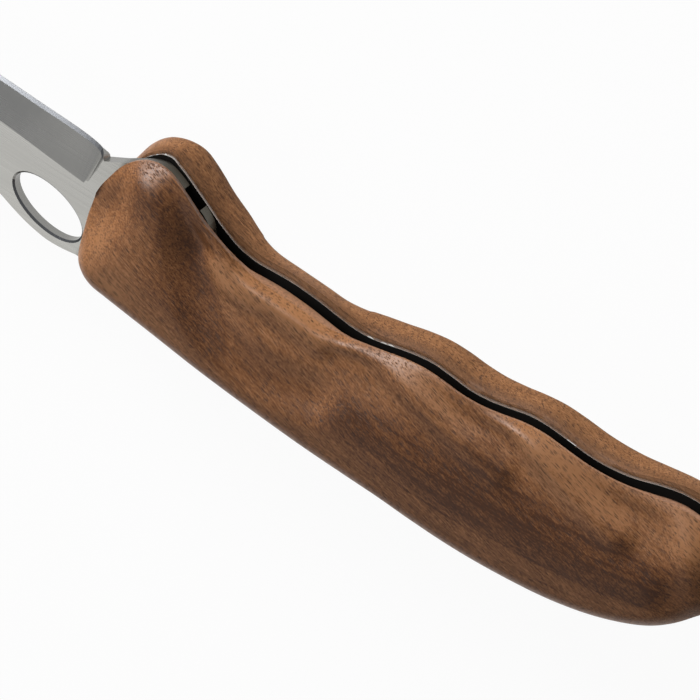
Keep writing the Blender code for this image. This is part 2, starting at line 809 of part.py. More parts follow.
def make_spacer():
    front = lock_tail[0] - side_gap * 2
    roof = spring_bed + spring_thickness + side_gap
    slot_front = spring_rear + spring_thickness + side_gap
    slot_back = spring_rear - side_gap
    slot_top = spring_bed + spring_leg + side_gap
    boss_gap = loop_boss_radius + side_gap * 2
    outline = [(front, roof), (slot_front, roof), (slot_front, slot_top), (slot_back, slot_top),
               (slot_back, spring_bed)]
    low_angle = math.degrees(math.asin((spring_bed - loop_pivot[1]) / boss_gap))
    outline += arc(loop_pivot, boss_gap, low_angle, spacer_heel_angle, 8)
    outline += spine_run(outline[-1][0] + side_gap, front, 16)
    holes = [circle(front_spacer_pin, spacer_pin_radius + side_gap),
             circle(rear_spacer_pin, spacer_pin_radius + side_gap)]
    finish(plate("back_spacer", [outline, *holes], 2 * (slot_half - side_gap), middle), spring_steel)
    make_rivet("front_spacer_rivet", front_spacer_pin, spacer_pin_radius, spacer_pin_radius * 1.7, spring_steel)
    make_rivet("rear_spacer_rivet", rear_spacer_pin, spacer_pin_radius, spacer_pin_radius * 1.7, spring_steel)


# The lanyard loop

def make_loop():
    eye = (loop_pivot[0] + loop_reach * math.cos(loop_rest), loop_pivot[1] + loop_reach * math.sin(loop_rest))
    lean = math.degrees(math.asin((loop_eye_radius - loop_boss_radius) / loop_reach))
    along = math.degrees(loop_rest)
    outline = arc(eye, loop_eye_radius, along - 90 - lean, along + 90 + lean, 24)
    outline += arc(loop_pivot, loop_boss_radius, along + 90 + lean, along + 270 - lean, 18)
    holes = [circle(eye, loop_hole_radius), circle(loop_pivot, spacer_pin_radius + side_gap)]
    finish(plate("lanyard_loop", [outline, *holes], loop_thickness, middle, loop_pivot), liner_steel)
    make_rivet("loop_rivet", loop_pivot, spacer_pin_radius, spacer_pin_radius * 1.7, spring_steel)


# The blind pins of the scales

def make_scale_pins():
    for side, label in ((1, "near"), (-1, "far")):
        for place, centre in scale_pins.items():
            low, high = sorted((side * slot_half, side * (scale_face + scale_pin_depth)))
            edge = scale_pin_radius / 5
            profile = [(0.0, high), (scale_pin_radius - edge, high), (scale_pin_radius, high - edge),
                       (scale_pin_radius, low + edge), (scale_pin_radius - edge, low), (0.0, low)]
            turned_piece(f"{label}_{place}_scale_pin", centre, profile, bronze)


make_scale("near_scale", 1, walnut_near)
make_scale("far_scale", -1, walnut_far)
make_liner("near_liner", 1)
make_liner("far_liner", -1)
make_blade()
make_pivot()
make_lock_bar()
make_spring()
make_spacer()
make_loop()
make_scale_pins()
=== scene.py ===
"""Folding knife with walnut scales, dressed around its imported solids."""
import math

import bmesh
import bpy
import numpy as np
from bpy.props import FloatProperty, FloatVectorProperty, IntProperty, PointerProperty
from mathutils import Matrix, Vector


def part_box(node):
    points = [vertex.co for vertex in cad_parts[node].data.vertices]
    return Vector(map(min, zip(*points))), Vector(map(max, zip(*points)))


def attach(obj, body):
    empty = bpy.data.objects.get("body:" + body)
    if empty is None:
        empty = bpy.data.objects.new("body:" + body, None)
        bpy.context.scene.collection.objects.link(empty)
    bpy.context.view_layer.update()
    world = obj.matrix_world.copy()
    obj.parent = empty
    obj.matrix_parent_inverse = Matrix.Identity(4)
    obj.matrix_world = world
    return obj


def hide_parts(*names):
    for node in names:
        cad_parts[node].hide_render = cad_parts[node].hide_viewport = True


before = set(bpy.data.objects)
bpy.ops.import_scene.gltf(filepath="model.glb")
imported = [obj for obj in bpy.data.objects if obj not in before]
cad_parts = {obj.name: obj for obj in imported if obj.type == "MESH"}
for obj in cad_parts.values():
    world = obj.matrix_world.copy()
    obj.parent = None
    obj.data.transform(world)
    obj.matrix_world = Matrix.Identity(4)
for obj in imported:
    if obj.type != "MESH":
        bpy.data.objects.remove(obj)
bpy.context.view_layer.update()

bl_info = {
    "name": "Walnut folding knife",
    "version": (1, 0, 0),
    "blender": (4, 5, 0),
    "location": "3D View > Sidebar > Knife",
    "description": "Carved walnut scales, satin steels and bronze on the packed solids of a folding knife",
    "category": "Object",
}

mm = 0.001
near_low, near_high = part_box("near_scale")
handle_length = near_high.x - near_low.x
handle_thickness = near_high.z
middle = handle_thickness / 2
front_end = near_high.x
scale_face = near_low.z - middle
handle_height = 36.0 * mm

# Outlines of the wood: shares of the handle's length back from its front end, and of its height above the
# blade's pivot, for the widest line on the belly, the belly's line at the slot and the widest on the spine
belly_wide_shares = (
    (0.000, -0.094), (0.002, -0.144), (0.007, -0.208), (0.013, -0.275), (0.022, -0.333), (0.033, -0.375),
    (0.045, -0.400), (0.058, -0.415), (0.073, -0.419), (0.088, -0.406), (0.102, -0.382), (0.117, -0.353),
    (0.146, -0.292), (0.176, -0.243), (0.205, -0.197), (0.235, -0.162), (0.279, -0.154), (0.323, -0.149),
    (0.352, -0.144), (0.382, -0.158), (0.411, -0.185), (0.440, -0.211), (0.470, -0.240), (0.499, -0.257),
    (0.529, -0.257), (0.558, -0.250), (0.588, -0.254), (0.617, -0.272), (0.646, -0.296), (0.676, -0.308),
    (0.705, -0.304), (0.749, -0.294), (0.793, -0.304), (0.838, -0.335), (0.874, -0.358), (0.907, -0.364),
    (0.937, -0.344), (0.964, -0.283), (0.985, -0.203), (0.996, -0.139), (1.000, -0.111),
)
belly_slot_shares = (
    (0.000, -0.100), (0.003, -0.150), (0.008, -0.217), (0.015, -0.278), (0.026, -0.325), (0.037, -0.354),
    (0.052, -0.364), (0.065, -0.347), (0.080, -0.325), (0.102, -0.286), (0.132, -0.233), (0.161, -0.189),
    (0.190, -0.156), (0.220, -0.140), (0.249, -0.146), (0.279, -0.151), (0.323, -0.143), (0.352, -0.131),
    (0.382, -0.121), (0.411, -0.129), (0.440, -0.156), (0.470, -0.183), (0.499, -0.197), (0.529, -0.192),
    (0.558, -0.183), (0.588, -0.192), (0.617, -0.217), (0.646, -0.244), (0.676, -0.250), (0.720, -0.239),
    (0.749, -0.233), (0.779, -0.242), (0.808, -0.264), (0.838, -0.303), (0.867, -0.333), (0.896, -0.344),
    (0.933, -0.325), (0.963, -0.267), (0.985, -0.189), (0.996, -0.131), (1.000, -0.106),
)
spine_wide_shares = (
    (0.000, -0.006), (0.001, 0.047), (0.006, 0.153), (0.013, 0.275), (0.020, 0.328), (0.034, 0.375),
    (0.050, 0.400), (0.073, 0.411), (0.153, 0.443), (0.235, 0.476), (0.326, 0.501), (0.405, 0.517),
    (0.492, 0.524), (0.571, 0.533), (0.648, 0.536), (0.722, 0.519), (0.801, 0.478), (0.867, 0.408),
    (0.922, 0.306), (0.950, 0.211), (0.971, 0.103), (0.987, 0.017), (0.996, -0.017), (1.000, -0.028),
)
# How high the belly's widest line lies: shares of the handle's length, and of a scale's thickness
belly_swell_shares = (
    (0.000, 0.595), (0.058, 0.641), (0.102, 0.748), (0.161, 0.710), (0.205, 0.580), (0.249, 0.489),
    (0.352, 0.489), (0.396, 0.573), (0.470, 0.618), (0.543, 0.687), (0.602, 0.626), (0.646, 0.573),
    (0.720, 0.626), (0.779, 0.588), (0.838, 0.534), (1.000, 0.489),
)

# How far the slot's line stands in from the widest line, along the spine and at both ends, and how far above
# a scale's inner face the spine's widest line lies
spine_lip = 0.6 * mm
end_lip = 0.8 * mm
spine_swell = 2.5 * mm
# The face's rise from the belly: where its shoulder lies in from the edge, along the handle, then the width
# of its roll as a multiple of that, the roll's share, the reach and the share of its long part, and how far
# past the shoulder the last of the climb runs
shoulder_sizes = (
    (0.000, 4.0 * mm), (0.080, 4.0 * mm), (0.130, 3.5 * mm), (0.185, 2.6 * mm), (0.240, 1.7 * mm),
    (0.355, 1.8 * mm), (0.420, 2.8 * mm), (0.470, 4.0 * mm), (0.577, 5.0 * mm), (0.620, 2.8 * mm),
    (0.650, 2.0 * mm), (0.735, 4.0 * mm), (0.800, 6.0 * mm), (0.907, 5.5 * mm), (1.000, 5.0 * mm),
)
belly_edge = (1.5, 0.60, 20.0 * mm, 0.07, 3.0 * mm)
# Each other edge of the face: the width and the share of its roll, then the reach and the power of its ramp
spine_edge = (3.5 * mm, 0.50, 12.0 * mm, 2.0)
front_edge = (5.0 * mm, 0.60, 10.0 * mm, 2.0)
butt_edge = (6.0 * mm, 0.50, 16.0 * mm, 2.0)
# How full the rolls are, and how fast the belly's long part falls off
roll_power = 2.3
long_power = 2.0
# The belly half of the face is hollowed between its ridges: the depth of the hollow, where it is full, and
# where it ends, in from the belly's edge
hollow_depth = 2.0 * mm
hollow_full = 3.5 * mm
hollow_end = 16.0 * mm
# Each ridge left standing in the hollow: its line in from the belly's edge, in mm, half its width, its share
ridges = (
    (((12.0, -16.0), (2.0, -6.0), (4.0, 8.0)), 9.5 * mm, 1.0),
    (((-12.0, -4.0), (-15.0, -2.6), (-24.0, -3.4), (-35.0, -2.8)), 4.4 * mm, 0.42),
    (((-46.0, -8.5), (-52.0, -6.0), (-62.0, -3.0), (-74.0, 0.0)), 5.5 * mm, 1.0),
    (((-74.0, -12.0), (-79.0, -9.0), (-87.0, -6.0), (-98.0, -2.0)), 5.5 * mm, 1.0),
    (((-106.0, -14.0), (-112.0, -8.0), (-116.0, 0.0)), 6.5 * mm, 1.0),
)
# The valley behind the guard, which runs on to the middle of the face: its line, half its width, its depth
valley_line = ((-1.0, -17.0), (-5.5, -8.0), (-11.5, 1.0), (-17.0, 6.0), (-28.0, 9.0), (-39.0, 7.5))
valley_width = 6.5 * mm
valley_depth = 1.5 * mm
# How far the wood stands back at the slot, along the handle
slot_back_sizes = ((0.000, 0.0), (0.370, 0.0), (0.440, 0.35 * mm), (0.500, 0.52 * mm), (0.800, 0.52 * mm),
                   (0.840, 0.25 * mm), (0.880, 0.0), (1.000, 0.0))
# How much the sections crowd towards both ends, and the steps between two given points of each curve
end_crowding = 0.88
outline_steps = 8
section_steps = 6
stroke_steps = 5
# The steepest turn that a carved face may have and still look smooth
smooth_angle = math.radians(40)

# The thumb's scoop in the spine: its centre along the handle and above the pivot, its size and its soft rim
scoop_centre = (-58.1 * mm, 22.4 * mm)
scoop_size = (24.0 * mm, 12.0 * mm, 18.0 * mm)
scoop_blend = 0.45 * mm

# Pockets in a scale's inner face for the rivets' heads and its own pins: place, radius and depth
rivet_pockets = {
    "pivot": (0.0, 0.0, 3.7 * mm, 1.9 * mm),
    "lock": (-35.0 * mm, 13.5 * mm, 3.275 * mm, 1.9 * mm),
    "front_spacer": (-74.5 * mm, 14.6 * mm, 2.425 * mm, 1.9 * mm),
    "rear_spacer": (-91.0 * mm, 13.2 * mm, 2.425 * mm, 1.9 * mm),
    "loop": (-103.0 * mm, 9.8 * mm, 2.425 * mm, 1.9 * mm),
    "front_pin": (-19.0 * mm, 4.5 * mm, 1.8 * mm, 3.3 * mm),
    "rear_pin": (-86.0 * mm, 3.0 * mm, 1.8 * mm, 3.3 * mm),
}
pocket_overrun = 1.0 * mm
pocket_segments = 32

# The wood's figure is laid out in mm. The grain rises towards the spine by a share of the way back, and bends
# with the cube of that way for the pores and with its square for the layers
grain_rise = 0.34
pore_bend = 0.000002
layer_bend = 0.0026
# The slow swing of the layers: its cells per mm back along the handle and in the other directions, and the
# detail and roughness of its noise
swing_cells = (0.03, 0.06)
swing_detail = (2.0, 0.45)
# How the layers tilt through the thickness, across the figure and by their swing
layer_tilt = (0.93, -0.37, 1.6)
# Dark end of each ring: where in its spacing it starts and is full, and where it breaks off, then by how
# clear the rings are in each place
ring_rise = (0.0, 0.75)
ring_end = (0.80, 1.0)
ring_clear = (0.35, 0.70)
# Noises of the figure: cells per mm along each of their directions, detail and roughness
grain_noises = {
    "streak": ((0.045, 0.95, 0.95), 4.0, 0.6),
    "fibre": ((0.55, 3.4, 3.4), 4.0, 0.7),
    "speckle": ((2.2, 4.6, 4.6), 2.0, 0.6),
    "line pore": ((0.11, 2.6, 2.6), 2.0, 0.5),
    "line zone": ((0.05, 0.22, 0.22), 1.0, 0.5),
    "clear ring": ((0.55, 0.02), 1.0, 0.5),
    "layer": ((0.38, 0.016), 2.0, 0.5),
    "stripe": ((0.85, 0.012, 0.35), 2.0, 0.5),
}
# The tone is 0 in the darkest wood and 1 in the palest: its middle, how far each noise sways it, and the
# darkness of the rings
tone_middle = 0.54
tone_sways = {"layer": 0.30, "streak": 0.34, "fibre": 0.85}
speckle_sway = 0.30
speckle_range = (0.25, 0.75)
ring_darkness = 0.10
# Open pores: where a cell is a hole, by the distance from its middle and by chance, and the drawn-out pores
# between them with their zones and their strength
pore_hole = (0.60, 0.25)
pore_chance = (0.20, 0.95)
line_pore_edge = (0.60, 0.70)
line_zone_edge = (0.42, 0.62)
line_pore_strength = 0.75
# Painted shade darkens the wood towards the slot, by the distance from the knife's middle plane
slot_dark_edge = (5.2, 3.9)
slot_darkness = 0.45
# How far the fibres stand up, as a share of a pore's depth
fibre_relief = 0.3

# The near scale's own figure in mm, with the painted light and shade laid over it. Every edge is a smooth step
# from its first number to its second. First comes how far the slow swing bends its lines, across the figure
# and in depth
wander_swing = 3.0
depth_swing = 0.12
# The dark heartwood across the figure, where it starts and how far its start is frayed, and the dark
# stripes over the rear of the face
heart_rise = (-15.5, -9.0)
heart_fall = (2.5, -3.0)
heart_start = (38.0, 92.0)
heart_fray = 30.0
stripe_edge = (0.50, 0.60)
stripe_start = (34.0, 66.0)
# The pale strip beside the heartwood, and the dark rim between them
strip_rise = (-1.5, 0.8)
strip_fall = (5.0, 2.0)
strip_start = (62.0, 82.0)
rim_place = -0.2
rim_edge = (1.1, 0.1)
rim_start = (52.0, 72.0)
# Painted light that makes the wood paler where the face rolls down from its top, the painted shade of a thin
# dark line along the shoulder above it, and how far the painted light hides the heartwood and the stripes
roll_edge = (9.75, 8.50)
shade_line_rise = (8.90, 9.62)
shade_line_fall = (10.02, 9.72)
roll_cover = 0.75
# The ringed eye of a knot by the guard: its centre, its squash, the half spacing, the edge and the swing of
# its rings, and where it ends
knot_centre = (1.9, -11.6, 19.0)
knot_squash = (1.0, 1.0, 0.4)
knot_half_ring = 0.75
knot_ring_edge = (0.35, 0.85)
knot_swing = 0.8
knot_end = (4.2, 2.6)
# How far each of them sways the tone
own_tones = {"rim": -0.16, "heart": -0.30, "strip": 0.14, "roll": 0.16, "line": -0.09, "knot": -0.15,
             "stripes": -0.24}
# Patches of painted shade and painted highlight on the near scale: centre, half the length and the width, turn
# in degrees, strength. The darker ones paint the shade of the valley behind the guard and of the guard's rear
# flank, over wood that is darker at the guard; the paler ones paint the highlights on the ridges and the sheen
# on the guard's lobe
painted_shade_and_highlight_patches = (
    ((2.0, -11.0), (14.0, 9.0), 150.0, -0.14), ((-6.0, -9.0), (12.0, 6.0), 118.0, -0.28),
    ((-12.0, 3.0), (18.0, 5.0), 132.0, -0.26), ((-31.0, 8.0), (26.0, 6.5), 180.0, -0.20),
    ((-16.0, -3.4), (9.0, 3.4), 172.0, 0.46), ((-29.0, -4.2), (12.0, 3.0), 177.0, 0.34),
    ((-58.0, -4.5), (15.0, 4.5), 160.0, 0.36), ((-86.0, -6.5), (17.0, 5.0), 163.0, 0.54),
    ((-111.0, -9.0), (8.0, 5.5), 150.0, 0.30), ((5.0, 6.0), (12.0, 10.0), 60.0, 0.28),
    ((-4.0, 12.0), (14.0, 5.0), 170.0, 0.22),
)
# Each scale's wood: where in the tree it is cut from, and its share of the near scale's own figure with its
# painted light and shade
wood_cuts = {"near": (0.0, 1.0), "far": (11.0, 0.2)}

# Where most of a noise's values lie
noise_range = (0.2, 0.8)

# The wood's finish: how much the pores and the painted shade at the slot darken and dull it, how far the
# fibres sway its roughness, its relief and how strongly it reflects
pore_and_slot_shade_share = 0.80
pore_dullness = 0.25
fibre_dullness = 0.06
wood_relief = 0.06 * mm
wood_relief_strength = 0.4
wood_ior = 1.5
wood_reflection = 0.16

# Finishes of the metals: roughness, then the cells of their lines per metre along X and across it
metal_finishes = {
    "liner steel": (0.24, 60.0, 5000.0),
    "blade steel": (0.27, 25.0, 6000.0),
    "spring steel": (0.30, 40.0, 5000.0),
    "rivet steel": (0.25, 800.0, 800.0),
    "bronze": (0.30, 900.0, 900.0),
    "loop steel": (0.26, 60.0, 5000.0),
}
# Fine and broad lines are mixed by their shares, and the broad ones have shares of the fine ones' cells.
# Each has the detail and roughness of its noise
fine_share = 0.65
broad_share = 0.35
broad_along_share = 0.4
broad_across_share = 0.18
fine_detail = (3.0, 0.7)
broad_detail = (2.0, 0.6)
# The smudges: cells per metre, detail, roughness and distortion of their noise, and where most of it lies
smudge_noise = (110.0, 3.0, 0.55, 0.4)
smudge_range = (0.3, 0.7)
# How far the lines sway a metal's colour and roughness, how far the smudges lower and raise its roughness,
# and the lines' relief
line_tint = 0.12
line_range = (0.25, 0.75)
line_dullness = 0.03
smudge_dullness = (-0.012, 0.02)
line_relief = 0.01 * mm
line_relief_strength = 0.12
dull_roughness = 0.6
# A plate's ground edges are told by their normal: its Z from a face to an edge, and its Y from the other
# edges to those towards the spine
ground_lean = (0.85, 0.45)
spine_lean = (0.1, 0.5)
# The blade's sharpened bevel is told by its normal's Y and Z, and the painted shade on the tang inside the
# handle gives way to the blade's colour over this length up to the handle's front end
bevel_down_lean = (-0.12, -0.22)
bevel_side_lean = (0.2, 0.5)
tang_fade = 2.0 * mm

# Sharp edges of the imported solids: points closer than this are joined, and turns above this are broken in so
# many steps
weld_distance = 0.002 * mm
broken_angle = math.radians(32)
broken_segments = 2

# The floor: its size and divisions, how far it lies under the knife, how much of it glows where it is seen,
# and its matt face with a faint grain
floor_size = 3.0
floor_divisions = 24
floor_gap = 0.05 * mm
floor_glow_share = 0.95
floor_roughness = 0.9
floor_reflection = 0.1
floor_grain = (900.0, 2.0, 0.5)
floor_grain_range = (0.3, 0.7)
floor_dark_share = 0.985
# Each lamp: its size and its place, then whether it lights matt surfaces and whether it shows in gloss
lamps = {
    "key": ((0.60, 0.45), (0.70, -0.60, 0.34), True, False),
    "fill": ((1.10, 0.50), (0.22, 0.64, 0.72), True, True),
    "sheen": ((0.40, 0.30), (0.42, -0.40, 0.80), False, True),
}
lamp_target = (-0.04, 0.0, 0.01)
# The camera: the directions of its right side and its back, the point that it looks at, how far it stands
# from there, and where its view starts
camera_right = (-0.83577, -0.43419, -0.33612)
camera_back = (-0.11077, -0.46624, 0.87770)
camera_target = (-39.68 * mm, -0.38 * mm, 10.0 * mm)
camera_distance = 0.6
camera_clip = 0.05

# Places of the nodes in the node editor
node_gap = 220
node_rows = 6
entry_place = (-300, 0)
shader_place = (2200, 0)
output_place = (2500, 0)


# Settings in the sidebar


class KnifeShapeSettings(bpy.types.PropertyGroup):
    stations: IntProperty(name="Stations", description="Cross sections along a scale", default=260, min=60)
    columns: IntProperty(name="Columns", description="Points across a scale's face", default=56, min=16)
    lip_steps: IntProperty(name="Lip steps", description="Points across a scale's lip", default=8, min=2)
    lip_bulge: FloatProperty(name="Lip bulge", description="How full the lip between slot and widest line is",
                             default=0.5, min=0.0, max=1.0, subtype="FACTOR")
    edge_break: FloatProperty(name="Edge break", default=0.15 * mm, unit="LENGTH", precision=5,
                              description="Width of the broken edges of the liners, the lock and the loop")


class KnifeWoodSettings(bpy.types.PropertyGroup):
    near_light: FloatVectorProperty(name="Near light wood", description="Palest wood of the near scale",
                                    subtype="COLOR", default=(0.320, 0.146, 0.062))
    near_middle: FloatVectorProperty(name="Near wood", description="Usual wood of the near scale",
                                     subtype="COLOR", default=(0.190, 0.076, 0.027))
    near_dark: FloatVectorProperty(name="Near dark wood", description="Darkest wood of the near scale",
                                   subtype="COLOR", default=(0.052, 0.016, 0.0036))
    far_light: FloatVectorProperty(name="Far light wood", description="Palest wood of the far scale",
                                   subtype="COLOR", default=(0.320, 0.152, 0.068))
    far_middle: FloatVectorProperty(name="Far wood", description="Usual wood of the far scale",
                                    subtype="COLOR", default=(0.220, 0.099, 0.041))
    far_dark: FloatVectorProperty(name="Far dark wood", description="Darkest wood of the far scale",
                                  subtype="COLOR", default=(0.080, 0.034, 0.016))
    # Also the colour of the painted shade at the slot
    pore_and_slot_shade_colour: FloatVectorProperty(name="Pores And Slot Shade", description="Colour inside the open pores",
                                     subtype="COLOR", default=(0.022, 0.009, 0.005))
    ring_spacing: FloatProperty(name="Ring spacing", description="Distance between growth rings",
                                default=0.45 * mm, unit="LENGTH", precision=5)
    pore_length: FloatProperty(name="Pore length", description="Length of a pore along the grain",
                               default=1.7 * mm, unit="LENGTH", precision=5)
    pore_width: FloatProperty(name="Pore width", description="Distance between pores across the grain",
                              default=0.19 * mm, unit="LENGTH", precision=5)
    roughness: FloatProperty(name="Roughness", description="Roughness of the oiled wood", default=0.37,
                             min=0.0, max=1.0, subtype="FACTOR")


class KnifeSteelSettings(bpy.types.PropertyGroup):
    blade_colour: FloatVectorProperty(name="Blade", description="Colour of the blade's steel",
                                      subtype="COLOR", default=(0.24, 0.237, 0.224))
    liner_colour: FloatVectorProperty(name="Liners", description="Colour of the liners and the lanyard loop",
                                      subtype="COLOR", default=(0.66, 0.65, 0.62))
    spring_colour: FloatVectorProperty(name="Spring steel", subtype="COLOR", default=(0.50, 0.50, 0.49),
                                       description="Colour of the lock, the spacer and the rivets")
    # Painted shade: the near-black colour of the liners' and the lock's faces, which stand in the dark slot
    plate_shade_colour: FloatVectorProperty(name="Plate faces in painted shade", subtype="COLOR", default=(0.0072, 0.0066, 0.006),
                                     description="Colour of the unpolished faces of the liners and the lock")
    # Painted shade on the tang inside the handle
    tang_shade_colour: FloatVectorProperty(name="Tang in painted shade", description="Colour of the blade's unpolished tang",
                                     subtype="COLOR", default=(0.060, 0.054, 0.040))
    honed_colour: FloatVectorProperty(name="Honed bevel", description="Colour of the blade's sharpened bevel",
                                      subtype="COLOR", default=(0.060, 0.062, 0.066))
    bronze_colour: FloatVectorProperty(name="Bronze", description="Colour of the bush, washers and pins",
                                       subtype="COLOR", default=(0.60, 0.40, 0.18))


class KnifeStageSettings(bpy.types.PropertyGroup):
    floor_colour: FloatVectorProperty(name="Floor", description="Colour of the floor", subtype="COLOR",
                                      default=(0.80, 0.80, 0.80))
    sky_level: FloatProperty(name="Sky", description="Light of the surroundings on matt surfaces",
                             default=0.06)
    key_power: FloatProperty(name="Key", description="Power of the lamp on the blade's and the belly's side",
                             default=17.0, unit="POWER")
    fill_power: FloatProperty(name="Fill", description="Power of the lamp on the spine side", default=2.3,
                              unit="POWER")
    sheen_power: FloatProperty(name="Sheen", description="Power of the lamp that shows in gloss alone",
                               default=22.0, unit="POWER")
    lens: FloatProperty(name="Lens", description="Focal length of the camera", default=169.83, unit="CAMERA")


class KnifeSettings(bpy.types.PropertyGroup):
    shape: PointerProperty(type=KnifeShapeSettings, name="Shape", description="Fineness of the shapes")
    wood: PointerProperty(type=KnifeWoodSettings, name="Wood", description="Walnut of both scales")
    steel: PointerProperty(type=KnifeSteelSettings, name="Metal", description="Metals of the knife")
    stage: PointerProperty(type=KnifeStageSettings, name="Stage", description="Floor, lamps and camera")


def settings():
    return bpy.context.scene.folding_knife


# Shader nodes and materials


class NodeDesk:
    """Places and links the nodes of one tree."""

    def __init__(self, tree):
        self.tree = tree
        self.count = 0

    def node(self, kind, inputs=None, **options):
        item = self.tree.nodes.new("ShaderNode" + kind)
        item.location = (node_gap * (self.count // node_rows), -node_gap * (self.count % node_rows))
        self.count += 1
        for name, value in options.items():
            setattr(item, name, value)
        for name, value in (inputs or {}).items():
            self.feed(item.inputs[name], value)
        return item

    def feed(self, socket, value):
        if isinstance(value, bpy.types.NodeSocket):
            self.tree.links.new(value, socket)
        else:
            socket.default_value = value

    def math(self, operation, first, second=0.0, clamp=False):
        return self.node("Math", {0: first, 1: second}, operation=operation, use_clamp=clamp).outputs[0]

    def vector(self, operation, first, second):
        return self.node("VectorMath", {0: first, 1: second}, operation=operation).outputs[0]

    def sum_of(self, *terms):
        total = terms[0]
        for term in terms[1:]:
            total = self.math("ADD", total, term)
        return total

    def times(self, *factors):
        product = factors[0]
        for factor in factors[1:]:
            product = self.math("MULTIPLY", product, factor)
        return product

    def highest(self, *values):
        highest = values[0]
        for value in values[1:]:
            highest = self.math("MAXIMUM", highest, value)
        return highest

    def rest_of(self, value):
        """What a share leaves of one."""
        return self.math("SUBTRACT", 1.0, value)

    def step(self, value, low, high, start=0.0, end=1.0):
        """A smooth step of a value from one level to another."""
        return self.node("MapRange", {"Value": value, "From Min": low, "From Max": high, "To Min": start,
                                      "To Max": end}, interpolation_type="SMOOTHSTEP").outputs["Result"]

    def between(self, value, rise, fall):
        """A band with soft edges, one inside it."""
        return self.times(self.step(value, *rise), self.step(value, *fall))

    def spread(self, value, low, high, start, end):
        return self.node("MapRange", {"Value": value, "From Min": low, "From Max": high, "To Min": start,
                                      "To Max": end}).outputs["Result"]

    def sway(self, value, reach, low=0.0, high=1.0):
        """Spreads a value evenly about nothing."""
        return self.spread(value, low, high, -reach, reach)

    def blend(self, factor, first, second):
        """Mixes two colours, which a Mix node keeps in its sockets 6 and 7."""
        item = self.node("Mix", {0: factor, 6: first, 7: second}, data_type="RGBA")
        return item.outputs[2]

    def join(self, x, y, z=0.0):
        return self.node("CombineXYZ", {"X": x, "Y": y, "Z": z}).outputs[0]

    def split(self, vector):
        return self.node("SeparateXYZ", {0: vector}).outputs

    def coordinates(self, kind):
        return self.node("TexCoord").outputs[kind]

    def noise(self, vector, scale, detail, roughness, distortion=0.0):
        return self.node("TexNoise", {"Vector": vector, "Scale": scale, "Detail": detail,
                                      "Roughness": roughness, "Distortion": distortion}).outputs["Fac"]

    def drawn_noise(self, place, cells, detail, roughness):
        """Noise with its own number of cells along each direction of a place."""
        drawn = self.join(*(self.times(value, count) for value, count in zip(place, cells)))
        return self.noise(drawn, 1.0, detail, roughness)

    def ramp(self, value, stops):
        item = self.node("ValToRGB", {"Fac": value})
        ramp = item.color_ramp
        while len(ramp.elements) < len(stops):
            ramp.elements.new(0.5)
        for element, (place, colour) in zip(ramp.elements, stops):
            element.position = place
            element.color = (*colour, 1.0)
        return item.outputs["Color"]

    def place_group(self, group, inputs):
        return self.node("Group", inputs, node_tree=group).outputs


def new_group(name, inputs, outputs):
    """An empty node group with named inputs and outputs, each with the kind of its socket."""
    group = bpy.data.node_groups.new(name, "ShaderNodeTree")
    for way, sockets in (("INPUT", inputs), ("OUTPUT", outputs)):
        for label, kind in sockets.items():
            group.interface.new_socket(label, in_out=way, socket_type="NodeSocket" + kind)
    entry = group.nodes.new("NodeGroupInput")
    leave = group.nodes.new("NodeGroupOutput")
    entry.location = entry_place
    leave.location = output_place
    return NodeDesk(group), entry.outputs, leave.inputs


def patch(desk, x, y, centre, reach, turn):
    """A soft oval patch on the face, one in its middle."""
    right, up = desk.math("SUBTRACT", x, centre[0]), desk.math("SUBTRACT", y, centre[1])
    along = desk.sum_of(desk.times(right, math.cos(turn)), desk.times(up, math.sin(turn)))
    across = desk.math("SUBTRACT", desk.times(up, math.cos(turn)), desk.times(right, math.sin(turn)))
    along, across = desk.times(along, 1 / reach[0]), desk.times(across, 1 / reach[1])
    return desk.step(desk.sum_of(desk.times(along, along), desk.times(across, across)), 1.0, 0.0)


def knot_eye(desk, place, swing):
    """The dark rings of the knot, one in their middle."""
    away = desk.vector("MULTIPLY", desk.vector("SUBTRACT", place, knot_centre), knot_squash)
    far = desk.node("VectorMath", {0: away}, operation="LENGTH").outputs["Value"]
    wave = desk.math("PINGPONG", desk.sum_of(far, desk.times(swing, knot_swing)), knot_half_ring)
    ring = desk.step(desk.times(wave, 1 / knot_half_ring), *knot_ring_edge)
    return desk.times(ring, desk.step(far, *knot_end))


def own_figure_and_painted_light(desk, place, layer_across, deep, streak, swing):
    """The near scale's heartwood, stripes, pale strip, rim and knot, with painted light on the roll, painted
    shade along the shoulder and patches of painted shade and highlight, as a sway of its tone.
    """
    x, y, z = desk.split(place)
    back = desk.times(x, -1.0)
    wander = desk.sum_of(layer_across, desk.times(swing, wander_swing))
    painted_roll_light = desk.step(deep, *roll_edge)
    below_roll = desk.rest_of(desk.times(painted_roll_light, roll_cover))
    heart_back = desk.sum_of(back, desk.times(streak, heart_fray))
    stripe = desk.drawn_noise((layer_across, back, swing), *grain_noises["stripe"])
    from_rim = desk.math("ABSOLUTE", desk.math("SUBTRACT", wander, rim_place))
    parts = {
        "rim": desk.times(desk.step(from_rim, *rim_edge), desk.step(back, *rim_start)),
        "heart": desk.times(desk.between(wander, heart_rise, heart_fall), desk.step(heart_back, *heart_start),
                            below_roll),
        "strip": desk.times(desk.between(wander, strip_rise, strip_fall), desk.step(back, *strip_start)),
        # Painted light on the roll
        "roll": painted_roll_light,
        # Painted shade: a dark line along the face's shoulder
        "line": desk.between(deep, shade_line_rise, shade_line_fall),
        "knot": knot_eye(desk, place, swing),
        "stripes": desk.times(desk.step(stripe, *stripe_edge), desk.step(back, *stripe_start), below_roll),
    }
    return desk.sum_of(*(desk.times(parts[name], amount) for name, amount in own_tones.items()),
                       *(desk.times(patch(desk, x, y, centre, reach, math.radians(turn)), strength)
                         for centre, reach, turn, strength in painted_shade_and_highlight_patches))


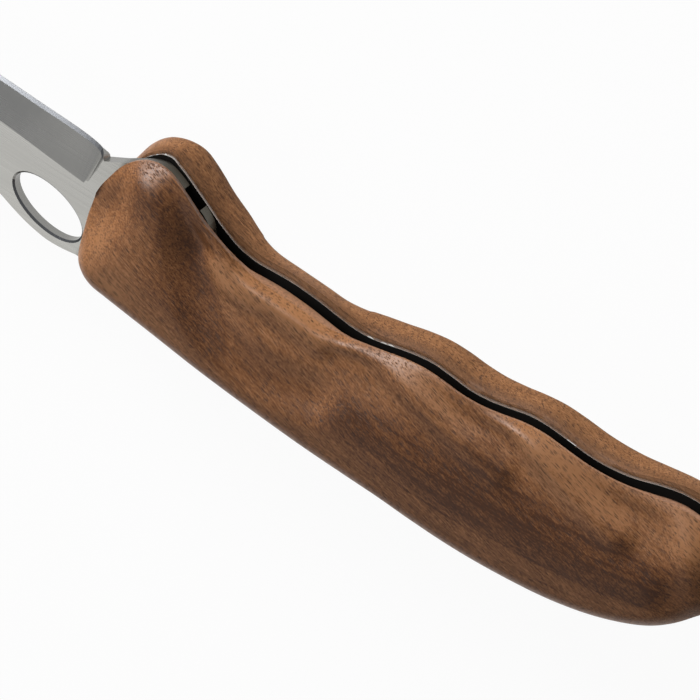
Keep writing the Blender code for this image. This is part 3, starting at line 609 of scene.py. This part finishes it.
def growth_rings(desk, layer, back, spacing):
    """The dark end of each ring, one where it is darkest, with stretches in which the rings are faint."""
    part = desk.math("FRACT", desk.math("DIVIDE", layer, spacing))
    ring = desk.math("SUBTRACT", desk.step(part, *ring_rise), desk.step(part, *ring_end), clamp=True)
    clear = desk.drawn_noise((layer, back), *grain_noises["clear ring"])
    return desk.times(ring, desk.step(clear, *ring_clear))


def pores_and_slot_shade(desk, grain, deep, length, width):
    """Open pores and drawn-out ones along the grain, and the painted shade that darkens the wood at the slot.
    """
    back, across, z = grain
    cell_place = desk.join(desk.math("DIVIDE", back, length), desk.math("DIVIDE", across, width),
                           desk.math("DIVIDE", z, width))
    cells = desk.node("TexVoronoi", {"Vector": cell_place, "Scale": 1.0})
    chance = desk.split(cells.outputs["Color"])[0]
    short = desk.times(desk.step(cells.outputs["Distance"], *pore_hole), desk.step(chance, *pore_chance))
    long = desk.times(desk.step(desk.drawn_noise(grain, *grain_noises["line pore"]), *line_pore_edge),
                      desk.step(desk.drawn_noise(grain, *grain_noises["line zone"]), *line_zone_edge,
                                0.0, line_pore_strength))
    return desk.highest(short, long, desk.step(deep, *slot_dark_edge, 0.0, slot_darkness))


def walnut_figure():
    """Tone, pores and relief of walnut whose grain rises from the front of the handle towards its spine. The
    tone also holds the near scale's painted light and shade, and the pores the painted shade at the slot.
    """
    name = "Walnut figure"
    if name in bpy.data.node_groups:
        return bpy.data.node_groups[name]
    desk, given, out = new_group(
        name,
        {"Vector": "Vector", "Ring Spacing": "Float", "Pore Length": "Float", "Pore Width": "Float",
         "Own Figure And Painted Light": "Float", "Place": "Float"},
        {"Tone": "Float", "Pores And Slot Shade": "Float", "Fibre": "Float", "Height": "Float"})
    place = desk.node("VectorMath", {0: given["Vector"], "Scale": 1 / mm}, operation="SCALE").outputs[0]
    x, y, z = desk.split(place)
    back = desk.times(x, -1.0)
    risen = desk.math("SUBTRACT", y, desk.times(back, grain_rise))
    cubed = desk.math("POWER", desk.highest(back, 0.0), 3.0)
    across = desk.sum_of(risen, desk.times(cubed, pore_bend))
    layer_across = desk.sum_of(risen, desk.times(back, back, layer_bend))
    slow = desk.join(desk.times(back, swing_cells[0]), desk.times(across, swing_cells[1]),
                     desk.sum_of(desk.times(z, swing_cells[1]), given["Place"]))
    swing = desk.sway(desk.noise(slow, 1.0, *swing_detail), 1.0)
    layer_parts = zip((z, layer_across, swing), layer_tilt)
    layer = desk.sum_of(*(desk.times(value, share) for value, share in layer_parts), given["Place"])
    deep = desk.sum_of(desk.math("ABSOLUTE", desk.math("SUBTRACT", z, middle / mm)),
                       desk.times(swing, depth_swing))
    grain = (back, across, z)
    noises = {kind: desk.drawn_noise(grain, *grain_noises[kind]) for kind in ("streak", "fibre", "speckle")}
    noises["layer"] = desk.drawn_noise((layer, back), *grain_noises["layer"])
    ring = growth_rings(desk, layer, back, given["Ring Spacing"])
    own = own_figure_and_painted_light(desk, place, layer_across, deep, noises["streak"], swing)
    # The pores also carry the painted shade at the slot
    pores = pores_and_slot_shade(desk, grain, deep, given["Pore Length"], given["Pore Width"])
    desk.feed(out["Tone"], desk.sum_of(
        tone_middle, *(desk.sway(noises[kind], reach) for kind, reach in tone_sways.items()),
        desk.sway(noises["speckle"], speckle_sway, *speckle_range), desk.times(ring, -ring_darkness),
        desk.times(own, given["Own Figure And Painted Light"])))
    desk.feed(out["Pores And Slot Shade"], pores)
    desk.feed(out["Fibre"], noises["fibre"])
    desk.feed(out["Height"], desk.math("SUBTRACT", desk.times(noises["fibre"], fibre_relief), pores))
    return desk.tree


def brushed_metal():
    """Fine lines and smudges of a satin finish, as varying tone, roughness and relief."""
    name = "Brushed metal"
    if name in bpy.data.node_groups:
        return bpy.data.node_groups[name]
    desk, given, out = new_group(name, {"Vector": "Vector", "Along": "Float", "Across": "Float"},
                                 {"Lines": "Float", "Smudge": "Float"})
    place = desk.split(given["Vector"])
    fine_cells = (given["Along"], given["Across"], given["Across"])
    broad_cells = [desk.times(count, share) for count, share in zip(
        fine_cells, (broad_along_share, broad_across_share, broad_across_share))]
    fine = desk.drawn_noise(place, fine_cells, *fine_detail)
    broad = desk.drawn_noise(place, broad_cells, *broad_detail)
    desk.feed(out["Lines"], desk.sum_of(desk.times(fine, fine_share), desk.times(broad, broad_share)))
    desk.feed(out["Smudge"], desk.noise(given["Vector"], *smudge_noise))
    return desk.tree


def polished_edges():
    """Tells the ground edges of a plate, or only those towards the spine, from its faces, which get painted
    shade.
    """
    name = "Polished edges"
    if name in bpy.data.node_groups:
        return bpy.data.node_groups[name]
    desk, given, out = new_group(name, {"Normal": "Vector", "Spine Only": "Float"}, {"Bright": "Float"})
    lean = desk.split(given["Normal"])
    edge = desk.step(desk.math("ABSOLUTE", lean["Z"]), *ground_lean)
    spine = desk.step(lean["Y"], *spine_lean)
    desk.feed(out["Bright"], desk.times(edge, desk.highest(spine, desk.rest_of(given["Spine Only"]))))
    return desk.tree


def new_material(name):
    material = bpy.data.materials.new(name)
    material.use_nodes = True
    desk = NodeDesk(material.node_tree)
    shader = material.node_tree.nodes["Principled BSDF"]
    material.node_tree.nodes["Material Output"].location = output_place
    shader.location = shader_place
    return material, desk, shader


def walnut(side, light, usual, dark):
    """Oiled walnut of one scale."""
    wood = settings().wood
    cut, own_share = wood_cuts[side]
    material, desk, shader = new_material("walnut " + side)
    figure = desk.place_group(walnut_figure(), {
        "Vector": desk.coordinates("Object"), "Ring Spacing": wood.ring_spacing / mm,
        "Pore Length": wood.pore_length / mm, "Pore Width": wood.pore_width / mm, "Own Figure And Painted Light": own_share,
        "Place": cut})
    colour = desk.ramp(figure["Tone"], [(0.0, dark), (tone_middle, usual), (1.0, light)])
    colour = desk.blend(desk.times(figure["Pores And Slot Shade"], pore_and_slot_shade_share), colour, (*wood.pore_and_slot_shade_colour, 1.0))
    desk.feed(shader.inputs["Base Color"], colour)
    rough = desk.sum_of(wood.roughness, desk.times(figure["Pores And Slot Shade"], pore_dullness),
                        desk.sway(figure["Fibre"], fibre_dullness, *noise_range))
    desk.feed(shader.inputs["Roughness"], rough)
    bump = desk.node("Bump", {"Height": figure["Height"], "Strength": wood_relief_strength,
                              "Distance": wood_relief})
    desk.feed(shader.inputs["Normal"], bump.outputs["Normal"])
    shader.inputs["IOR"].default_value = wood_ior
    shader.inputs["Specular IOR Level"].default_value = wood_reflection
    return material


def shade_plate_faces(desk, shade, roughness, spine_only):
    """Paints shade on the faces of a plate and makes them rough, and leaves only its ground edges bright."""
    bright = desk.place_group(polished_edges(), {"Normal": desk.coordinates("Normal"),
                                                 "Spine Only": spine_only})["Bright"]
    shade = desk.blend(bright, (*settings().steel.plate_shade_colour, 1.0), shade)
    return shade, desk.spread(bright, 0.0, 1.0, dull_roughness, roughness)


def bevel_and_tang(desk, shade):
    """Darkens the blade's sharpened bevel, and paints shade on its tang inside the handle."""
    steel = settings().steel
    lean = desk.split(desk.coordinates("Normal"))
    honed = desk.times(desk.step(lean["Y"], *bevel_down_lean),
                       desk.step(desk.math("ABSOLUTE", lean["Z"]), *bevel_side_lean))
    shade = desk.blend(honed, shade, (*steel.honed_colour, 1.0))
    outside_handle = desk.step(desk.split(desk.coordinates("Object"))["X"], front_end - tang_fade, front_end)
    return desk.blend(outside_handle, (*steel.tang_shade_colour, 1.0), shade)


def metal(name, colour, spine_only=None, blade=False):
    """Satin metal with fine lines and smudges.

    Where spine_only is given, the faces get painted shade and a rougher finish. At 0 all ground edges stay
    bright, and at 1 only those towards the spine.
    """
    roughness, along, across = metal_finishes[name]
    material, desk, shader = new_material(name)
    brushed = desk.place_group(brushed_metal(), {"Vector": desk.coordinates("Object"), "Along": along,
                                                 "Across": across})
    tints = [[min(1.0, channel * (1 + tint)) for channel in colour] for tint in (-line_tint, line_tint)]
    shade = desk.ramp(brushed["Lines"], list(zip(line_range, tints)))
    if spine_only is not None:
        shade, roughness = shade_plate_faces(desk, shade, roughness, spine_only)
    if blade:
        shade = bevel_and_tang(desk, shade)
    desk.feed(shader.inputs["Base Color"], shade)
    rough = desk.sum_of(roughness, desk.spread(brushed["Smudge"], *smudge_range, *smudge_dullness),
                        desk.sway(brushed["Lines"], -line_dullness, *noise_range))
    desk.feed(shader.inputs["Roughness"], rough)
    bump = desk.node("Bump", {"Height": brushed["Lines"], "Strength": line_relief_strength,
                              "Distance": line_relief})
    desk.feed(shader.inputs["Normal"], bump.outputs["Normal"])
    shader.inputs["Metallic"].default_value = 1.0
    return material


# Carved scales


def smooth_curve(points, steps):
    """A smooth curve through the points, as an array. It makes no loops where points lie close together."""
    points = [np.array(point, float) for point in points]
    chain = [2 * points[0] - points[1], *points, 2 * points[-1] - points[-2]]
    curve = []
    for index in range(len(points) - 1):
        a, b, c, d = chain[index:index + 4]
        knots = [0.0]
        for start, end in ((a, b), (b, c), (c, d)):
            knots.append(knots[-1] + float(np.linalg.norm(end - start)) ** 0.5)
        for step in range(steps):
            at = knots[1] + (knots[2] - knots[1]) * step / steps
            ab = (a * (knots[1] - at) + b * (at - knots[0])) / (knots[1] - knots[0])
            bc = (b * (knots[2] - at) + c * (at - knots[1])) / (knots[2] - knots[1])
            cd = (c * (knots[3] - at) + d * (at - knots[2])) / (knots[3] - knots[2])
            abc = (ab * (knots[2] - at) + bc * (at - knots[0])) / (knots[2] - knots[0])
            bcd = (bc * (knots[3] - at) + cd * (at - knots[1])) / (knots[3] - knots[1])
            curve.append((abc * (knots[2] - at) + bcd * (at - knots[1])) / (knots[2] - knots[1]))
    curve.append(points[-1])
    return np.array(curve)


def along_handle(pairs, unit=1.0):
    """Points from shares of the handle's length, back from its front end, and values in a unit."""
    return [(front_end - share * handle_length, value * unit) for share, value in pairs]


def read_curve(curve, x):
    """Y of a curve that runs from front to butt, at each X."""
    return np.interp(-np.asarray(x, float), -curve[:, 0], curve[:, 1])


def distance_to(x, y, curve):
    """How far each point lies from a line of points."""
    best = np.full(x.shape, handle_length)
    for (ax, ay), (bx, by) in zip(curve[:-1], curve[1:]):
        run, rise = bx - ax, by - ay
        along = np.clip(((x - ax) * run + (y - ay) * rise) / (run * run + rise * rise), 0.0, 1.0)
        best = np.minimum(best, np.hypot(x - ax - along * run, y - ay - along * rise))
    return best


belly_wide = smooth_curve(along_handle(belly_wide_shares, handle_height), outline_steps)
belly_slot = smooth_curve(along_handle(belly_slot_shares, handle_height), outline_steps)
spine_wide = smooth_curve(along_handle(spine_wide_shares, handle_height), outline_steps)
belly_swell = smooth_curve(along_handle(belly_swell_shares), section_steps)
shoulder = smooth_curve(along_handle(shoulder_sizes), section_steps)
slot_back = np.array(along_handle(slot_back_sizes))
front_line = np.array([belly_wide[0], spine_wide[0]])
butt_line = np.array([belly_wide[-1], spine_wide[-1]])


def roll(distance, width):
    """A soft round from nothing at the edge to one at its width."""
    return 1 - np.clip(1 - distance / width, 0.0, 1.0) ** roll_power


def fall(distance, reach, power):
    """A ramp's depth, one at the edge and nothing at its reach."""
    return np.clip(1 - distance / reach, 0.0, 1.0) ** power


def climb(share):
    """A smooth step from nothing at zero to one at one."""
    share = np.clip(share, 0.0, 1.0)
    return share * share * (3 - 2 * share)


def crown(x, y):
    """How far the wood has risen above its edge, as a share of its full rise."""
    depth = distance_to(x, y, belly_wide)
    spread, roll_share, long_reach, long_share, run_out = belly_edge
    place = read_curve(shoulder, x)
    rise = roll_share * roll(depth, spread * place) + long_share * (1 - fall(depth, long_reach, long_power))
    rise = rise + (1 - roll_share - long_share) * climb(depth / (place + run_out))
    for line, (width, share, reach, power) in ((spine_wide, spine_edge), (front_line, front_edge),
                                               (butt_line, butt_edge)):
        depth = distance_to(x, y, line)
        rise = rise * (1 - share * (1 - roll(depth, width)) - (1 - share) * fall(depth, reach, power))
    return rise


def stroke(x, y, line, width):
    """A soft stroke along a line, one on it and nothing at half its width."""
    near = distance_to(x, y, smooth_curve(np.array(line) * mm, stroke_steps)) / width
    return np.clip(1 - near ** 2, 0.0, 1.0) ** 2


def hollow_drop(x, y):
    """How far the hollows between the finger ridges and the valley behind the guard lower the face."""
    depth = distance_to(x, y, belly_wide)
    across = climb(depth / hollow_full) * (1 - climb((depth - hollow_full) / (hollow_end - hollow_full)))
    kept = sum(share * stroke(x, y, line, width) for line, width, share in ridges)
    valley = valley_depth * stroke(x, y, valley_line, valley_width)
    return hollow_depth * across * (1 - np.clip(kept, 0.0, 1.0)) + valley


def scoop_floor(x, z):
    """Y of the thumb scoop's surface under each place, high where there is no scoop."""
    half = [size / 2 for size in scoop_size]
    inside = 1 - ((x - scoop_centre[0]) / half[0]) ** 2 - (z / half[2]) ** 2
    return np.where(inside > 0, scoop_centre[1] - half[1] * np.sqrt(np.maximum(inside, 0.0)), handle_length)


def scale_grid():
    """Points of one scale by station and by place around its section; Z is counted from the middle plane."""
    shape = settings().shape
    share = np.linspace(0.0, 1.0, shape.stations + 1)
    crowded = share * (1 - end_crowding) + (1 - np.cos(math.pi * share)) / 2 * end_crowding
    x = front_end - handle_length * crowded
    centre = front_end - handle_length / 2
    slot_x = centre + (x - centre) * (1 - end_lip / (handle_length / 2))
    belly, spine = read_curve(belly_wide, x), read_curve(spine_wide, x)
    inner_belly, inner_spine = read_curve(belly_slot, x) + read_curve(slot_back, x), spine - spine_lip
    thickness = handle_thickness / 2 - scale_face
    belly_z = scale_face + thickness * read_curve(belly_swell, x)
    spine_z = np.full_like(x, scale_face + spine_swell)
    turns = np.linspace(0.0, math.pi / 2, shape.lip_steps + 1)[:-1]

    def lip(angle, inner, outer, height):
        """One line of points between the slot and the widest line."""
        out = math.sin(angle)
        up = (1 - shape.lip_bulge) * out + shape.lip_bulge * (1 - math.cos(angle))
        return (slot_x + (x - slot_x) * out, inner + (outer - inner) * out,
                scale_face + (height - scale_face) * up)

    columns = [lip(angle, inner_belly, belly, belly_z) for angle in turns]
    for across in (1 - np.cos(math.pi * np.linspace(0.0, 1.0, shape.columns + 1))) / 2:
        y = belly + (spine - belly) * across
        edge = belly_z + (spine_z - belly_z) * across
        rise = crown(x, y) if 0.0 < across < 1.0 else np.zeros_like(x)
        columns.append((x, y, edge + (scale_face + thickness - edge - hollow_drop(x, y)) * rise))
    columns += [lip(angle, inner_spine, spine, spine_z) for angle in reversed(turns)]
    grid = np.stack([np.stack(column, axis=1) for column in columns], axis=1)
    low = scoop_floor(grid[..., 0], grid[..., 2])
    gap = np.clip(0.5 + 0.5 * (low - grid[..., 1]) / scoop_blend, 0.0, 1.0)
    eased = grid[..., 1] * gap + low * (1 - gap) - scoop_blend * gap * (1 - gap)
    grid[..., 1] = np.where(low < handle_length, eased, grid[..., 1])
    return grid


def finished_mesh(name, body):
    """Turns a bmesh into a mesh and frees it."""
    mesh = bpy.data.meshes.new(name)
    body.to_mesh(mesh)
    body.free()
    return mesh


def new_object(name, data):
    item = bpy.data.objects.new(name, data)
    bpy.context.scene.collection.objects.link(item)
    return item


def close_grid(name, grid, side):
    """A closed mesh through the sections, on one side of the middle plane."""
    columns = grid.shape[1]
    places = grid.copy()
    places[..., 2] = middle + side * places[..., 2]
    body = bmesh.new()
    verts = [[body.verts.new(point) for point in row] for row in places]
    for row, following in zip(verts, verts[1:]):
        for index in range(columns):
            after = (index + 1) % columns
            body.faces.new((row[index], row[after], following[after], following[index]))
    body.faces.new(verts[0])
    body.faces.new(verts[-1])
    bmesh.ops.recalc_face_normals(body, faces=body.faces)
    return finished_mesh(name, body)


def cut_pockets(item, side):
    """Bores the pockets for rivet heads and pins into a scale's inner face."""
    body = bmesh.new()
    for x, y, radius, depth in rivet_pockets.values():
        start, end = scale_face - pocket_overrun, scale_face + depth
        centre = Matrix.Translation((x, y, middle + side * (start + end) / 2))
        bmesh.ops.create_cone(body, cap_ends=True, segments=pocket_segments, radius1=radius, radius2=radius,
                              depth=end - start, matrix=centre)
    cutter = new_object("pockets", finished_mesh("pockets", body))
    change = item.modifiers.new("pockets", "BOOLEAN")
    change.object = cutter
    change.operation = "DIFFERENCE"
    change.solver = "EXACT"
    bpy.context.view_layer.update()
    whole, pockets = item.data, cutter.data
    item.data = bpy.data.meshes.new_from_object(item.evaluated_get(bpy.context.evaluated_depsgraph_get()))
    item.modifiers.clear()
    bpy.data.objects.remove(cutter, do_unlink=True)
    for mesh in (whole, pockets):
        bpy.data.meshes.remove(mesh)


class KNIFE_OT_scales(bpy.types.Operator):
    """Carve both walnut scales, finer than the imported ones"""
    bl_idname = "folding_knife.scales"
    bl_label = "Walnut scales"

    def execute(self, context):
        wood = settings().wood
        grid = scale_grid()
        near = walnut("near", wood.near_light, wood.near_middle, wood.near_dark)
        far = walnut("far", wood.far_light, wood.far_middle, wood.far_dark)
        for node, side, material, slot in (("near_scale", 1, near, "walnut_near"),
                                           ("far_scale", -1, far, "walnut_far")):
            item = new_object("carved_" + node, close_grid("carved_" + node, grid, side))
            item.data.materials.append(material)
            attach(item, "handle")
            cut_pockets(item, side)
            item.data.shade_smooth()
            item.data.set_sharp_from_angle(angle=smooth_angle)
            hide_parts(node)
        return {"FINISHED"}


# Metal parts


def dress(nodes, material, edge_break=0.0):
    """Gives packed metal pieces their finish and breaks their sharp edges."""
    for node in nodes:
        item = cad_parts[node]
        item.data.materials.clear()
        item.data.materials.append(material)
        weld = item.modifiers.new("weld", "WELD")
        weld.merge_threshold = weld_distance
        if edge_break:
            edge = item.modifiers.new("broken edges", "BEVEL")
            edge.width = edge_break
            edge.segments = broken_segments
            edge.limit_method = "ANGLE"
            edge.angle_limit = broken_angle


class KNIFE_OT_liners(bpy.types.Operator):
    """Finish both liners, with bright edges and faces in painted shade"""
    bl_idname = "folding_knife.liners"
    bl_label = "Liners"

    def execute(self, context):
        steel = metal("liner steel", settings().steel.liner_colour, spine_only=0.0)
        dress(("near_liner", "far_liner"), steel, settings().shape.edge_break)
        return {"FINISHED"}


class KNIFE_OT_blade(bpy.types.Operator):
    """Finish the blade in satin with lines along its flats, a sharpened bevel and painted shade on its tang
    inside the handle
    """
    bl_idname = "folding_knife.blade"
    bl_label = "Blade"

    def execute(self, context):
        steel = metal("blade steel", settings().steel.blade_colour, blade=True)
        dress(("blade",), steel)
        return {"FINISHED"}


class KNIFE_OT_lock(bpy.types.Operator):
    """Finish the lock bar, its leaf spring and the rear spacer"""
    bl_idname = "folding_knife.lock"
    bl_label = "Lock"

    def execute(self, context):
        # The faces of the lock, its spring and the spacer get painted shade; only their edges towards the
        # spine stay bright
        steel = metal("spring steel", settings().steel.spring_colour, spine_only=1.0)
        dress(("lock_bar", "lock_spring", "back_spacer"), steel, settings().shape.edge_break)
        return {"FINISHED"}


class KNIFE_OT_pins(bpy.types.Operator):
    """Finish the rivets, the bush, the washers and the scale pins"""
    bl_idname = "folding_knife.pins"
    bl_label = "Rivets, bush and pins"

    def execute(self, context):
        steel = metal("rivet steel", settings().steel.spring_colour)
        bronze = metal("bronze", settings().steel.bronze_colour)
        dress(("pivot_rivet", "lock_rivet", "front_spacer_rivet", "rear_spacer_rivet", "loop_rivet"), steel)
        dress(("pivot_bush", "near_pivot_washer", "far_pivot_washer", "near_front_scale_pin",
               "near_rear_scale_pin", "far_front_scale_pin", "far_rear_scale_pin"), bronze)
        return {"FINISHED"}


class KNIFE_OT_loop(bpy.types.Operator):
    """Finish the lanyard loop"""
    bl_idname = "folding_knife.loop"
    bl_label = "Lanyard loop"

    def execute(self, context):
        steel = metal("loop steel", settings().steel.liner_colour)
        dress(("lanyard_loop",), steel, settings().shape.edge_break)
        return {"FINISHED"}


# Stage


def add_lamp(name, power):
    """A soft lamp for the matt part of surfaces, their gloss or both."""
    size, place, matt, gloss = lamps[name]
    data = bpy.data.lights.new(name, "AREA")
    data.shape = "RECTANGLE"
    data.size, data.size_y = size
    data.energy = power
    item = new_object(name, data)
    item.visible_diffuse, item.visible_glossy = matt, gloss
    item.location = place
    item.rotation_euler = (Vector(lamp_target) - Vector(place)).to_track_quat("-Z", "Y").to_euler()


def seen_rays(desk):
    """One for the rays of the camera, of reflections and of clear pieces, nothing for other rays."""
    path = desk.node("LightPath").outputs
    return desk.highest(path["Is Camera Ray"], path["Is Glossy Ray"], path["Is Transmission Ray"])


def floor_material():
    """Pale grey towards matt surfaces, and nearly white by its own glow where it is seen."""
    colour = tuple(settings().stage.floor_colour)
    material, desk, shader = new_material("floor")
    shader.inputs["Roughness"].default_value = floor_roughness
    shader.inputs["Specular IOR Level"].default_value = floor_reflection
    grain = desk.noise(desk.coordinates("Object"), *floor_grain)
    darker = tuple(channel * floor_dark_share for channel in colour)
    desk.feed(shader.inputs["Base Color"], desk.ramp(grain, list(zip(floor_grain_range, (darker, colour)))))
    glow = desk.node("Emission", {"Color": (1.0, 1.0, 1.0, 1.0), "Strength": 1.0})
    share = desk.times(seen_rays(desk), floor_glow_share)
    mix = desk.node("MixShader", {0: share, 1: shader.outputs[0], 2: glow.outputs[0]})
    desk.feed(material.node_tree.nodes["Material Output"].inputs["Surface"], mix.outputs[0])
    return material


def add_floor():
    body = bmesh.new()
    bmesh.ops.create_grid(body, x_segments=floor_divisions, y_segments=floor_divisions, size=floor_size)
    floor = new_object("floor", finished_mesh("floor", body))
    floor.location.z = -floor_gap
    floor.data.materials.append(floor_material())


def add_surroundings():
    """A white world that shows in full and lights matt surfaces only a little."""
    world = bpy.data.worlds.new("surroundings")
    bpy.context.scene.world = world
    world.use_nodes = True
    desk = NodeDesk(world.node_tree)
    background = world.node_tree.nodes["Background"]
    background.inputs["Color"].default_value = (1.0, 1.0, 1.0, 1.0)
    desk.feed(background.inputs["Strength"],
              desk.spread(seen_rays(desk), 0.0, 1.0, settings().stage.sky_level, 1.0))


def add_camera():
    right, back = Vector(camera_right).normalized(), Vector(camera_back).normalized()
    up = back.cross(right).normalized()
    right = up.cross(back).normalized()
    place = Vector(camera_target) + back * camera_distance
    data = bpy.data.cameras.new("camera")
    data.lens = settings().stage.lens
    data.clip_start = camera_clip
    camera = new_object("camera", data)
    camera.matrix_world = Matrix.Translation(place) @ Matrix((right, up, back)).transposed().to_4x4()
    bpy.context.scene.camera = camera


class KNIFE_OT_stage(bpy.types.Operator):
    """Set the floor, the lamps, the surroundings and the camera"""
    bl_idname = "folding_knife.stage"
    bl_label = "Stage"

    def execute(self, context):
        stage = settings().stage
        add_floor()
        add_surroundings()
        add_lamp("key", stage.key_power)
        add_lamp("fill", stage.fill_power)
        add_lamp("sheen", stage.sheen_power)
        add_camera()
        bpy.context.scene.view_settings.view_transform = "Standard"
        return {"FINISHED"}


class KNIFE_PT_panel(bpy.types.Panel):
    """Lists the knife's settings and its build steps"""
    bl_idname = "KNIFE_PT_panel"
    bl_label = "Walnut folding knife"
    bl_space_type = "VIEW_3D"
    bl_region_type = "UI"
    bl_category = "Knife"

    def draw(self, context):
        layout = self.layout
        knife = context.scene.folding_knife
        for group in (knife.shape, knife.wood, knife.steel, knife.stage):
            box = layout.box()
            for name in group.bl_rna.properties.keys():
                if name not in ("rna_type", "name"):
                    box.prop(group, name)
        for operator in build_order:
            layout.operator(operator.bl_idname)


build_order = (KNIFE_OT_scales, KNIFE_OT_liners, KNIFE_OT_blade, KNIFE_OT_lock, KNIFE_OT_pins,
               KNIFE_OT_loop, KNIFE_OT_stage)
classes = (KnifeShapeSettings, KnifeWoodSettings, KnifeSteelSettings, KnifeStageSettings, KnifeSettings,
           *build_order, KNIFE_PT_panel)


def register():
    for item in classes:
        bpy.utils.register_class(item)
    bpy.types.Scene.folding_knife = PointerProperty(type=KnifeSettings)


def unregister():
    del bpy.types.Scene.folding_knife
    for item in reversed(classes):
        bpy.utils.unregister_class(item)


def main():
    register()
    for operator in build_order:
        group, name = operator.bl_idname.split(".")
        if getattr(getattr(bpy.ops, group), name)() != {"FINISHED"}:
            raise RuntimeError(operator.bl_label + " could not be built")


if __name__ == "__main__":
    main()
